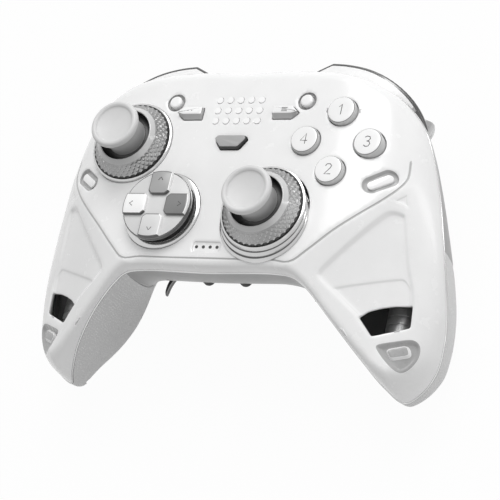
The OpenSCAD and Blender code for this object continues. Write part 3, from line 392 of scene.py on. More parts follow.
def closed_curve(points: Array, steps: int) -> Array:
    """Smooth closed curve through points of any number of values.

    Args:
        points: the points, whose first three values set the spacing.
        steps: stretches between two points.

    Returns:
        The points of the curve.
    """
    before, after, later = np.roll(points, 1, 0), np.roll(points, -1, 0), np.roll(points, -2, 0)
    def gap(a: Array, b: Array) -> Array:
        """Knot spacing between two lists of points."""
        return np.sqrt(np.linalg.norm((a - b)[:, :3], axis=1))[:, None]
    t1 = gap(before, points)
    t2 = t1 + gap(points, after)
    t3 = t2 + gap(after, later)
    rows = []
    for step in range(steps):
        t = t1 + (t2 - t1) * step / steps
        a1 = (before * (t1 - t) + points * t) / t1
        a2 = (points * (t2 - t) + after * (t - t1)) / (t2 - t1)
        a3 = (after * (t3 - t) + later * (t - t2)) / (t3 - t2)
        b1 = (a1 * (t2 - t) + a2 * t) / t2
        b2 = (a2 * (t3 - t) + a3 * (t - t1)) / (t3 - t1)
        rows.append((b1 * (t2 - t) + b2 * (t - t1)) / (t2 - t1))
    return np.stack(rows, 1).reshape(-1, points.shape[1])


def open_curve(points: Sequence[Sequence[float]], steps: int) -> Array:
    """Smooth open curve through flat points.

    Args:
        points: the points.
        steps: stretches between two points.

    Returns:
        The points of the curve with both ends.
    """
    line = np.array(points, float)
    ends = np.vstack([2 * line[0] - line[1], line, 2 * line[-1] - line[-2]])
    found = closed_curve(np.column_stack([ends, np.zeros(len(ends))]), steps)[:, :2]
    return np.vstack([found[steps:steps * len(line)], line[-1:]])


def ramp(low: float, high: float, value: Array) -> Array:
    """Smooth rise from 0 at low to 1 at high."""
    share = np.clip((value - low) / (high - low), 0, 1)
    return share * share * (3 - 2 * share)


def circle(at: Sequence[float], radius: float, count: int = 72) -> Array:
    """Round outline."""
    turn = np.arange(count) * 2 * math.pi / count
    return np.stack([at[0] + radius * np.cos(turn), at[1] + radius * np.sin(turn)], 1)


def rounded(corners: Sequence[Sequence[float]], radius: float, pitch: float = 0.6) -> Array:
    """Outline with rounded corners and points no further apart than the pitch."""
    return close_points(soft_corners(corners, radius), pitch)


def soft_corners(corners: Sequence[Sequence[float]], radius: float) -> Array:
    """Outline with six points round each corner.

    Args:
        corners: the sharp corners.
        radius: how far from a corner its rounding starts.

    Returns:
        The closed outline.
    """
    points = np.array(corners, float)
    found = []
    for here, last, following in zip(points, np.roll(points, 1, 0), np.roll(points, -1, 0)):
        way_in, way_out = last - here, following - here
        reach_in = min(radius, 0.48 * np.linalg.norm(way_in))
        reach_out = min(radius, 0.48 * np.linalg.norm(way_out))
        start = here + way_in / np.linalg.norm(way_in) * reach_in
        stop = here + way_out / np.linalg.norm(way_out) * reach_out
        for share in np.linspace(0, 1, 6):
            found.append((1 - share) ** 2 * start + 2 * share * (1 - share) * here + share ** 2 * stop)
    return np.array(found)


def close_points(outline: Array, pitch: float, closed: bool = True) -> Array:
    """Same line with points no further apart than the pitch."""
    ends = np.roll(outline, -1, 0) if closed else outline[1:]
    found = []
    for here, following in zip(outline, ends):
        count = max(1, math.ceil(np.linalg.norm(following - here) / pitch))
        found += [here + (following - here) * k / count for k in range(count)]
    if not closed:
        found.append(outline[-1])
    return np.array(found)


def area(outline: Array) -> float:
    """Signed area, positive when the outline runs anticlockwise."""
    x, y = outline.T
    return 0.5 * float(np.sum(x * np.roll(y, -1) - np.roll(x, -1) * y))


def offset(outline: Array, distance: float) -> Array:
    """Outline grown by a distance, or shrunk by a negative one."""
    along = np.roll(outline, -1, 0) - np.roll(outline, 1, 0)
    along /= np.linalg.norm(along, axis=1)[:, None]
    outward = np.stack([along[:, 1], -along[:, 0]], 1) * np.sign(area(outline))
    return outline + outward * distance


def inside(points: Array, outline: Array) -> Array:
    """Which points lie inside an outline."""
    x, y = points[:, :1], points[:, 1:2]
    x1, y1 = outline.T
    x2, y2 = np.roll(outline, -1, 0).T
    rise = np.where(y2 == y1, 1e-12, y2 - y1)
    crosses = ((y1 > y) != (y2 > y)) & (x < (x2 - x1) * (y - y1) / rise + x1)
    return crosses.sum(1) % 2 == 1


def distance_to(points: Array, line: Array, closed: bool = True) -> Array:
    """Plan distance of points from a line of points."""
    start = line if closed else line[:-1]
    along = (np.roll(line, -1, 0) if closed else line[1:]) - start
    size = np.maximum((along ** 2).sum(1), 1e-12)
    best = np.full(len(points), np.inf)
    for block in range(0, len(points), 4000):
        away = points[block:block + 4000, None, :] - start
        share = np.clip((away * along).sum(2) / size, 0, 1)
        best[block:block + 4000] = np.sqrt(((away - share[..., None] * along) ** 2).sum(2)).min(1)
    return best


def mirrored(outline: Array, side: Side) -> Array:
    """Outline of the right side, or its mirror image on the left."""
    return outline * np.array([side.value, 1])


# Housing form


@dataclass
class BodyShape:
    """Outer form of the housing in millimetres from the middle of its face."""

    face_h: float = 55.5
    mid_y: float = 9.06
    body_t: float = 27.0
    wall: float = 2.2
    trim_h: float = 1.2
    seam_steps: int = 12
    fold_from: tuple[float, float] = (32.5, -15.6)
    fold_to: tuple[float, float] = (63.4, 14.6)
    wing_tilt: float = -0.384
    wing_bow: float = -0.00126
    wing_twist: float = -0.00666
    crown_from: float = 29.0
    crown_rate: float = 1.68e-4
    front_power: float = 2.6
    rear_power: float = 2.4
    tip_rise: float = 3.5
    seam: tuple[tuple[float, ...], ...] = (
        (0, 60.5, -8, 5, 9), (22, 61, -8, 5, 9), (40, 59.2, -8.2, 5.5, 9), (51, 55.6, -9, 6.5, 10),
        (59.5, 50.8, -11.5, 7.5, 12), (65.5, 44.3, -16, 8.5, 12), (69.9, 34.7, -18, 8.5, 12),
        (73.8, 21.1, -20.7, 8, 12), (77.1, 4.3, -24.2, 7, 12), (79.6, -12.4, -28.8, 6, 12),
        (80.2, -21, -32, 6, 12), (79.8, -28.8, -35.2, 6, 12), (77.9, -38.1, -38.1, 6, 12),
        (73.3, -45.4, -39.9, 6, 12), (67.3, -49.3, -40.5, 6, 12), (62.6, -47.3, -32, 5, 13),
        (56.4, -41.2, -21.9, 3.5, 16), (47, -31.2, -12.2, 3, 16), (38, -22, -7, 2.6, 13),
        (33, -18.9, -5.2, 2.6, 10), (26, -18, -4.7, 2.6, 8), (0, -18.3, -4.9, 2.6, 8))
    loop: Array = field(init=False)
    inward: Array = field(init=False)

    def __post_init__(self) -> None:
        """Draw the parting line all round."""
        right = np.array(self.seam, float)
        left = right[-2:0:-1] * np.array([-1, 1, 1, 1, 1])
        self.loop = closed_curve(np.vstack([right, left]), self.seam_steps)
        along = np.roll(self.loop, -1, 0) - np.roll(self.loop, 1, 0)
        along = along[:, :2] / np.linalg.norm(along[:, :2], axis=1)[:, None]
        self.inward = np.stack([along[:, 1], -along[:, 0]], 1)

    def table(self, points: Array) -> Array:
        """Points in metres in the frame of the table."""
        return (np.asarray(points, float) + np.array([0, -self.mid_y, self.face_h])) * MM

    def nearest(self, points: Array) -> tuple[Array, Array, Array, Array]:
        """Distance to the parting line and the line's values there.

        Args:
            points: plan points.

        Returns:
            The distance, the line's height, and the front and rear rounding.
        """
        start, along = self.loop, np.roll(self.loop, -1, 0) - self.loop
        flat = along[:, :2]
        size = (flat ** 2).sum(1)
        away_best, values = [], []
        for block in range(0, len(points), 3000):
            away = points[block:block + 3000, None, :] - start[:, :2]
            share = np.clip((away * flat).sum(2) / size, 0, 1)
            gap = np.sqrt(((away - share[..., None] * flat) ** 2).sum(2))
            place = gap.argmin(1)
            rows = np.arange(len(place))
            away_best.append(gap[rows, place])
            values.append(start[place] + along[place] * share[rows, place][:, None])
        value = np.vstack(values)
        return np.concatenate(away_best), value[:, 2], value[:, 3], value[:, 4]

    def crown_z(self, x: Array) -> Array:
        """Height of the crowned middle of the face."""
        return -self.crown_rate * np.maximum(0, np.abs(x) - self.crown_from) ** 3

    def face_z(self, points: Array) -> Array:
        """Height of the face without its rounded edge."""
        start = np.array(self.fold_from)
        along = np.array(self.fold_to) - start
        along /= np.linalg.norm(along)
        across, up = np.abs(points[:, 0]), points[:, 1]
        run = np.maximum(0, (across - start[0]) * along[0] + (up - start[1]) * along[1])
        away = (across - start[0]) * along[1] - (up - start[1]) * along[0]
        fold = self.crown_z(start[0] + run * along[0])
        wing = fold + away * (self.wing_tilt + self.wing_bow * away + self.wing_twist * run)
        return np.where(away < 0, self.crown_z(across), wing)

    def back_z(self, points: Array) -> Array:
        """Height of the back without its rounded edge."""
        up = points[:, 1]
        across = ramp(24, 58, np.abs(points[:, 0]))
        down = ramp(44, -16, up)
        low_t = self.body_t - 4
        middle = (self.body_t - low_t) * ramp(-18, 10, up) * (1 - across)
        grip = 5.5 + (self.face_h - low_t - 5.5) * down - self.tip_rise * ramp(-33, -50, up)
        return -low_t - middle - grip * across

    @staticmethod
    def round_off(away: Array, width: Array, power: float) -> Array:
        """Share of the full height at a distance from the edge."""
        return (1 - np.clip(1 - away / width, 0, 1) ** power) ** (1 / power)

    def front_z(self, points: Array, inset: float = 0.0, relief: Union[Array, float] = 0.0) -> Array:
        """Height of the front shell's outer face, or of its inner face at an inset."""
        away, seam_z, width, _ = self.nearest(points)
        top = self.face_z(points) - inset + relief
        rise = self.round_off(np.maximum(away - inset, 0), width, self.front_power)
        return seam_z + (top - seam_z) * rise

    def rear_z(self, points: Array, inset: float = 0.0, drop: Union[Array, float] = 0.0,
               share: float = 0.5) -> Array:
        """Height of the rear shell's outer face, sunk by a drop or inset for its inner face."""
        away, seam_z, _, width = self.nearest(points)
        top = seam_z - self.trim_h
        full = np.maximum(top - self.back_z(points) - inset, 0.4)
        deep = full * self.round_off(np.maximum(away - inset, 0), width, self.rear_power)
        return top - deep + np.minimum(drop, share * deep)


SHAPE = BodyShape()


# Meshes


class Sketch:
    """Points in millimetres and faces of one piece."""

    def __init__(self) -> None:
        """Start with nothing drawn."""
        self.points: list[Array] = []
        self.faces: list[tuple[int, ...]] = []
        self.tones: list[int] = []

    def ring(self, points: Array) -> list[int]:
        """Add points and hand back their numbers."""
        start = len(self.points)
        self.points.extend(np.asarray(points, float))
        return list(range(start, len(self.points)))

    def face(self, corners: Sequence[int], tone: int = 0) -> None:
        """Add one face, without repeated corners."""
        distinct = tuple(dict.fromkeys(corners))
        if len(distinct) > 2:
            self.faces.append(distinct)
            self.tones.append(tone)

    def bridge(self, low: list[int], high: list[int], closed: bool = True,
               tone: Union[int, Sequence[int]] = 0) -> None:
        """Join two rings of as many points by quads, in one finish or one for each quad."""
        count = len(low)
        for k in range(count if closed else count - 1):
            j = (k + 1) % count
            self.face((low[k], low[j], high[j], high[k]), tone if isinstance(tone, int) else tone[k])

    def loft(self, sections: Sequence[Array], tone: int = 0, capped: bool = True,
             closed: bool = True) -> None:
        """Skin over sections of as many points, with flat ends."""
        rings = [self.ring(section) for section in sections]
        for low, high in zip(rings, rings[1:]):
            self.bridge(low, high, closed, tone)
        if capped:
            self.face(rings[0][::-1], tone)
            self.face(rings[-1], tone)

    def lathe(self, profile: Sequence[Sequence[float]], at: Sequence[float], steps: int = 96,
              tone: Union[int, Sequence[int]] = 0, looped: bool = True,
              wave: Optional[Callable[[Array, int], Array]] = None) -> None:
        """Turn a profile of radius and height about a vertical line.

        Args:
            profile: radius and height of its points.
            at: plan place of the line, or of each point's own line.
            steps: stretches round the turn.
            tone: finish number of all, or of each stretch of the profile.
            looped: whether the last point joins the first.
            wave: growth of the radius by turn and place in the profile.
        """
        turn = np.arange(steps) * 2 * math.pi / steps
        rings = []
        middles = np.broadcast_to(np.asarray(at, float), (len(profile), 2))
        for place, ((radius, height), (x, y)) in enumerate(zip(profile, middles)):
            if radius < 1e-6:
                rings.append(self.ring([[x, y, height]]) * steps)
                continue
            reach = radius + (wave(turn, place) if wave else 0)
            rings.append(self.ring(np.stack(
                [x + reach * np.cos(turn), y + reach * np.sin(turn), np.full(steps, height)], 1)))
        pairs = list(zip(rings, rings[1:] + rings[:1] if looped else rings[1:]))
        for number, (low, high) in enumerate(pairs):
            self.bridge(low, high, True, tone if isinstance(tone, int) else tone[number])

    def prism(self, outline: Array, low: float, high: float, edge: float = 0.0, tone: int = 0,
              side: Optional[int] = None) -> None:
        """Upright prism over an outline.

        Args:
            outline: its plan.
            low: height of its foot.
            high: height of its top.
            edge: rounding of its upper edge.
            tone: finish number.
            side: finish number of its sides and of the lower part of the rounding, where that differs.
        """
        flat = np.asarray(outline, float)
        rows = [(0.0, low), (0.0, high - edge)]
        if edge:
            rows += [(edge * (1 - math.cos(a)), high - edge + edge * math.sin(a))
                     for a in np.radians([30, 60, 90])]
        rings = [self.ring(np.column_stack([offset(flat, -shrink), np.full(len(flat), z)])) for shrink,
                 z in rows]
        for number, (under, over) in enumerate(zip(rings, rings[1:])):
            self.bridge(under, over, True, side if side is not None and number < 3 else tone)
        self.face(rings[0][::-1], tone)
        self.face(rings[-1], tone)

    def rod(self, start: Sequence[float], stop: Sequence[float], radius: float, tone: int = 0,
            steps: int = 32, edge: float = 0.0) -> None:
        """Round rod between two points with softened ends."""
        a, b = np.array(start, float), np.array(stop, float)
        way = (b - a) / np.linalg.norm(b - a)
        side = np.cross(way, [0, 0, 1.0] if abs(way[2]) < 0.9 else [1.0, 0, 0])
        side /= np.linalg.norm(side)
        other = np.cross(way, side)
        turn = np.arange(steps) * 2 * math.pi / steps
        shape = np.outer(np.cos(turn), side) + np.outer(np.sin(turn), other)
        rows = [(a, radius - edge), (a + way * edge, radius), (b - way * edge, radius), (b, radius - edge)]
        self.loft([middle + shape * reach for middle, reach in rows], tone)

    def block(self, low: Sequence[float], high: Sequence[float], tone: int = 0) -> None:
        """Box between two corners."""
        outline = np.array([[low[0], low[1]], [high[0], low[1]], [high[0], high[1]], [low[0], high[1]]])
        self.prism(outline, low[2], high[2], tone=tone)

    def build(self, name: str, finishes: Sequence[Finish], body: str, slot: str,
              replaces: Sequence[str] = (), sharp: float = 32, bevel: float = 0.0) -> bpy.types.Object:
        """Make the object and hang it on its body.

        Args:
            name: name of the piece.
            finishes: its finishes in the order of the tone numbers.
            body: the body that it rides on.
            slot: the record's material slot, not used.
            replaces: nodes that it stands for.
            sharp: least angle in degrees of an edge that stays sharp.
            bevel: width in millimetres of rounded edges.

        Returns:
            The object.
        """
        mesh = bpy.data.meshes.new(name)
        mesh.from_pydata(SHAPE.table(np.array(self.points)).tolist(), [], self.faces)
        mesh.polygons.foreach_set("material_index", self.tones)
        work = bmesh.new()
        work.from_mesh(mesh)
        bmesh.ops.remove_doubles(work, verts=work.verts, dist=WELD)
        bmesh.ops.dissolve_degenerate(work, edges=work.edges, dist=WELD)
        bmesh.ops.recalc_face_normals(work, faces=work.faces)
        work.to_mesh(mesh)
        work.free()
        mesh.polygons.foreach_set("use_smooth", [True] * len(mesh.polygons))
        mesh.set_sharp_from_angle(angle=math.radians(sharp))
        for finish in finishes:
            mesh.materials.append(finish.make())
        made = bpy.data.objects.new(name, mesh)
        bpy.context.scene.collection.objects.link(made)
        if bevel:
            soft = made.modifiers.new("soft_edges", "BEVEL")
            soft.width = bevel * MM
            soft.segments = 3
            soft.limit_method = "ANGLE"
            soft.angle_limit = math.radians(sharp)
            soft.harden_normals = True
        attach(made, body)
        if replaces:
            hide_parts(*replaces)
        log.info("%s: %d faces on %s", name, len(mesh.polygons), body)
        return made


@dataclass(frozen=True)
class Hole:
    """Opening through a shell with a rounded edge."""

    outline: Array
    edge: float = 0.3


@dataclass(frozen=True)
class Recess:
    """Sunk field with bevelled sides, or a raised one where its depth is negative."""

    outline: Array
    depth: float
    bevel: float

    def relief(self, points: Array) -> Array:
        """Height that it adds at the points."""
        near = inside(points, self.outline)
        found = np.zeros(len(points))
        if near.any():
            found[near] = -self.depth * ramp(0, self.bevel, distance_to(points[near], self.outline))
        return found

    def lines(self) -> list[Array]:
        """Closed lines that its mesh needs."""
        return [offset(self.outline, -share * self.bevel) for share in (0, 0.25, 0.5, 0.75, 1)]


@dataclass(frozen=True)
class Groove:
    """Fine line pressed into a shell."""

    line: Array
    width: float = 0.34
    depth: float = 0.2

    def relief(self, points: Array) -> Array:
        """Height that it adds at the points."""
        away = distance_to(points, self.line, False)
        return -self.depth * (1 - ramp(0, self.width, away))

    def lines(self) -> list[Array]:
        """Open lines that its mesh needs."""
        along = np.gradient(self.line, axis=0)
        along /= np.linalg.norm(along, axis=1)[:, None]
        across = np.stack([along[:, 1], -along[:, 0]], 1)
        return [self.line + across * self.width * share for share in (-1, -0.5, 0, 0.5, 1)]


@dataclass
class PlanMesh:
    """Triangles over the plan of the housing, with rings that follow the parting line.

    Attributes:
        fractions: where the rings lie, as shares of the rounding's width.
        widths: width of the rounding along the parting line.
        pitch: distance between the inner points.
        holes: openings.
        closed_lines: closed lines that edges follow.
        open_lines: open lines that edges follow.
    """

    fractions: Array
    widths: Array
    pitch: float
    holes: Sequence[Hole] = ()
    closed_lines: Sequence[Array] = ()
    open_lines: Sequence[Array] = ()
    points: Array = field(init=False)
    drop: Array = field(init=False)
    faces: list[tuple[int, ...]] = field(init=False)
    band: list[tuple[int, int]] = field(init=False)
    border: Array = field(init=False)

    @staticmethod
    def rings(fractions: Array, widths: Array) -> list[Array]:
        """Rings inside the parting line at shares of the rounding's width."""
        seam = SHAPE.loop[:, :2]
        shares = np.broadcast_to(fractions, (len(seam), np.shape(fractions)[-1]))
        return [seam + SHAPE.inward * (shares[:, k] * widths)[:, None] for k in range(shares.shape[1])]

    def __post_init__(self) -> None:
        """Lay the rings, fill the middle and line the openings."""
        seam = SHAPE.loop[:, :2]
        rings = self.rings(self.fractions, self.widths)
        self.border = rings[-1]
        blocks, drops, faces, band = [np.vstack(rings)], [np.zeros(len(seam) * len(rings))], [], []
        count = len(seam)
        for k in range(len(rings) - 1):
            for i in range(count):
                j = (i + 1) % count
                faces.append((k * count + i, (k + 1) * count + i, (k + 1) * count + j, k * count + j))
                band.append((k, i))
        used = len(blocks[0])
        middle, triangles = self._fill(rings[-1])
        blocks.append(middle)
        drops.append(np.zeros(len(middle)))
        faces += [tuple(used + k for k in face) for face in triangles]
        used += len(middle)
        for hole in self.holes:
            turns = np.radians([0, 30, 60, 90])
            edge_rings = [offset(hole.outline, hole.edge * (1 - math.sin(a))) for a in turns]
            size = len(hole.outline)
            blocks += edge_rings
            drops += [np.full(size, hole.edge * (1 - math.cos(a))) for a in turns]
            for k in range(len(turns) - 1):
                for i in range(size):
                    j = (i + 1) % size
                    base = used + k * size
                    faces.append((base + i, base + j, base + size + j, base + size + i))
            used += size * len(turns)
        band += [(-1, -1)] * (len(faces) - len(band))
        self._weld(np.vstack(blocks), np.concatenate(drops), faces, band)

    def _weld(self, points: Array, drop: Array, faces: list[tuple[int, ...]],
              band: list[tuple[int, int]]) -> None:
        """Join points that lie on one place, and leave out faces that this closes."""
        key = np.round(np.column_stack([points, drop]) / 2e-4).astype(np.int64)
        _, first, number = np.unique(key, axis=0, return_index=True, return_inverse=True)
        number = number.ravel()
        self.points, self.drop, self.faces, self.band = points[first], drop[first], [], []
        for face, place in zip(faces, band):
            corners = list(dict.fromkeys(int(number[k]) for k in face))
            if len(corners) > 2:
                self.faces.append(tuple(corners))
                self.band.append(place)

    def _fill(self, border: Array) -> tuple[Array, list[tuple[int, ...]]]:
        """Triangulate the middle inside the last ring.

        Args:
            border: the last ring.

        Returns:
            The points and the triangles that lie outside all openings.
        """
        rims = [offset(hole.outline, hole.edge) for hole in self.holes]
        loops = [border, *rims, *self.closed_lines]
        edges, blocks, used = [], [], 0
        lines = [(loop, True) for loop in loops] + [(line, False) for line in self.open_lines]
        for number, (line, closed) in enumerate(lines):
            size = len(line)
            free = np.ones(size, bool) if number <= len(rims) else self._free(line, border, rims)
            place = used + np.cumsum(free) - 1
            for k in range(size if closed else size - 1):
                j = (k + 1) % size
                if free[k] and free[j]:
                    edges.append((int(place[k]), int(place[j])))
            blocks.append(line[free])
            used += int(free.sum())
        fixed = np.vstack(blocks)
        low, high = border.min(0), border.max(0)
        step = np.array([self.pitch, self.pitch * math.sqrt(3) / 2])
        columns, rows = np.ceil((high - low) / step).astype(int)
        x, y = np.meshgrid(np.arange(columns), np.arange(rows))
        grid = np.stack([(x + 0.5 * (y % 2)).ravel() * step[0], y.ravel() * step[1]], 1) + low
        grid = grid[inside(grid, border)]
        for rim in rims:
            grid = grid[~inside(grid, rim)]
        gap = np.full(len(grid), np.inf)
        for block in range(0, len(grid), 2000):
            away = grid[block:block + 2000, None, :] - fixed
            gap[block:block + 2000] = np.sqrt((away ** 2).sum(2)).min(1)
        grid = grid[gap > 0.5 * self.pitch]
        every = np.vstack([fixed, grid])
        found = delaunay_2d_cdt([Vector(p) for p in every], edges, [], 0, 1e-5)
        points = np.array([tuple(p) for p in found[0]])
        triangles = np.array(found[2])
        middle = points[triangles].mean(1)
        keep = inside(middle, border)
        for rim in rims:
            keep &= ~inside(middle, rim)
        self._settle(points, triangles, keep)
        return points, [tuple(int(k) for k in face) for face in triangles[keep]]

    @staticmethod
    def _settle(points: Array, triangles: Array, keep: Array, thin: float = 0.05, passes: int = 5) -> None:
        """Keep a thin triangle only where its neighbour across its longest side is kept.

        Args:
            points: all points.
            triangles: corners of the triangles.
            keep: which triangles are kept, changed in place.
            thin: least height of a triangle that is left as it is.
            passes: how often the thin triangles are gone over.
        """
        sides = points[np.roll(triangles, -1, 1)] - points[triangles]
        length = np.linalg.norm(sides, axis=2)
        area = np.abs(sides[:, 0, 0] * sides[:, 1, 1] - sides[:, 0, 1] * sides[:, 1, 0])
        owners: dict[frozenset[int], list[int]] = {}
        for number, corners in enumerate(triangles.tolist()):
            for k in range(3):
                owners.setdefault(frozenset((corners[k], corners[(k + 1) % 3])), []).append(number)
        for _ in range(passes):
            for number in np.flatnonzero(area < thin * length.max(1)):
                k = int(length[number].argmax())
                side = frozenset((int(triangles[number][k]), int(triangles[number][(k + 1) % 3])))
                others = [other for other in owners[side] if other != number]
                keep[number] = bool(others) and keep[others[0]]

    @staticmethod
    def _free(line: Array, border: Array, rims: Sequence[Array]) -> Array:
        """Which points of a line keep clear of the openings and the last ring, or lie right on it."""
        away = distance_to(line, border)
        free = (inside(line, border) & (away > 0.25)) | (away < 1e-6)
        for rim in rims:
            free &= ~inside(line, offset(rim, 0.2))
        return free

    def solid(self, upper: Array, lower: Array, keep: Optional[Array] = None,
              tones: Optional[Array] = None) -> Sketch:
        """Closed shell between two heights over the kept faces.

        Args:
            upper: height of the upper skin at each point.
            lower: height of the lower skin at each point.
            keep: which faces are used, or all.
            tones: finish number of each face of the upper skin, or all the first.

        Returns:
            The sketch of the shell.
        """
        sketch = Sketch()
        count = len(self.points)
        sketch.ring(np.column_stack([self.points, upper]))
        sketch.ring(np.column_stack([self.points, lower]))
        chosen = np.ones(len(self.faces), bool) if keep is None else keep
        sides: dict[tuple[int, int], Optional[tuple[int, int]]] = {}
        for number in np.flatnonzero(chosen):
            face = self.faces[number]
            sketch.face(face, 0 if tones is None else int(tones[number]))
            sketch.face([count + k for k in face[::-1]])
            for a, b in zip(face, face[1:] + face[:1]):
                key = (min(a, b), max(a, b))
                sides[key] = None if key in sides else (a, b)
        for pair in sides.values():
            if pair and max(abs(upper[k] - lower[k]) for k in pair) > 1e-4:
                a, b = pair
                sketch.face((b, a, count + a, count + b))
        return sketch

    def middles(self) -> Array:
        """Plan middle of each face."""
        return np.array([self.points[list(face)].mean(0) for face in self.faces])

    def patch(self, start: int, stop: int, line: Array, rows: Sequence[int]) -> Array:
        """Faces of a field between a stretch of the parting line and an open line.

        Args:
            start: first station of the stretch.
            stop: last station of the stretch.
            line: open line from the last ring at one end to the last ring at the other.
            rows: rows of the rings that belong to the field.

        Returns:
            Which faces belong to it.
        """
        stretch = self.border[start:stop + 1]
        if np.linalg.norm(stretch[-1] - line[0]) > np.linalg.norm(stretch[0] - line[0]):
            stretch = stretch[::-1]
        field_outline = np.vstack([stretch, line])
        within = inside(self.middles(), field_outline)
        ringed = np.array([k in rows and start <= i < stop for k, i in self.band])
        free = np.array([k < 0 for k, _ in self.band])
        return (free & within) | ringed


# Places of the controls


@dataclass(frozen=True)
class Layout:
    """Plan places of everything on the face."""

    left_stick: tuple[float, float] = (-40.5, 30.26)
    right_stick: tuple[float, float] = (20.17, 3.18)
    disc: tuple[float, float] = (-21.0, 2.9)
    cluster: tuple[float, float] = (41.0, 30.7)
    pitch: float = 23.2
    round_at: tuple[float, float] = (26.4, 46.7)
    flag_at: tuple[float, float] = (19.2, 41.9)
    middle_at: tuple[float, float] = (0.0, 30.0)
    strip_at: tuple[float, float] = (0.0, -10.6)
    lamp_at: tuple[float, float] = (0.0, 43.2)
    lamp_pitch: float = 4.2
    oval_at: tuple[float, float] = (58.4, 17.3)
    oval_turn: float = 36.0

    def stick(self, side: Side) -> tuple[float, float]:
        """Middle of a stick."""
        return self.left_stick if side is Side.LEFT else self.right_stick

    def face_buttons(self) -> dict[str, tuple[float, float]]:
        """Middles of the four face buttons by name."""
        x, y = self.cluster
        half = self.pitch / 2
        return {"north": (x, y + half), "south": (x, y - half), "east": (x + half, y), "west": (x - half, y)}

    def lamps(self) -> list[tuple[float, float]]:
        """Middles of the lamp dots."""
        x, y = self.lamp_at
        return [(x + self.lamp_pitch * i, y + self.lamp_pitch * j) for i in range(-2, 3) for j in (-1, 0, 1)]

    def stadium(self, long: float, wide: float) -> Array:
        """Outline of the side lamp on the right, of that size."""
        turn = np.radians(np.arange(48) * 7.5 + 3.75)
        reach = np.where(np.cos(turn) > 0, 1, -1) * (long - wide) / 2
        flat = np.stack([reach + wide / 2 * np.cos(turn), wide / 2 * np.sin(turn)], 1)
        lie = math.radians(self.oval_turn)
        spin = np.array([[math.cos(lie), math.sin(lie)], [-math.sin(lie), math.cos(lie)]])
        return flat @ spin + np.array(self.oval_at)


LAYOUT = Layout()


def flag_outline(grow: float) -> Array:
    """Five-sided button whose point looks to the right."""
    long, half, point = 4.95, 2.25, 2.4
    return np.array([[-long - grow, -half - grow], [long - point, -half - grow], [long + 1.4 * grow, 0],
                     [long - point, half + grow], [-long - grow, half + grow]])


def tab_outline(grow: float) -> Array:
    """Tapered button in the middle, wider at its top."""
    top, low, half = 6.2, 3.5, 2.5
    return np.array([[-low - grow, -half - grow], [low + grow, -half - grow], [top + 1.6 * grow, half / 2],
                     [top - 1 + grow, half + grow], [1 - top - grow, half + grow],
                     [-top - 1.6 * grow, half / 2]])


# Shells


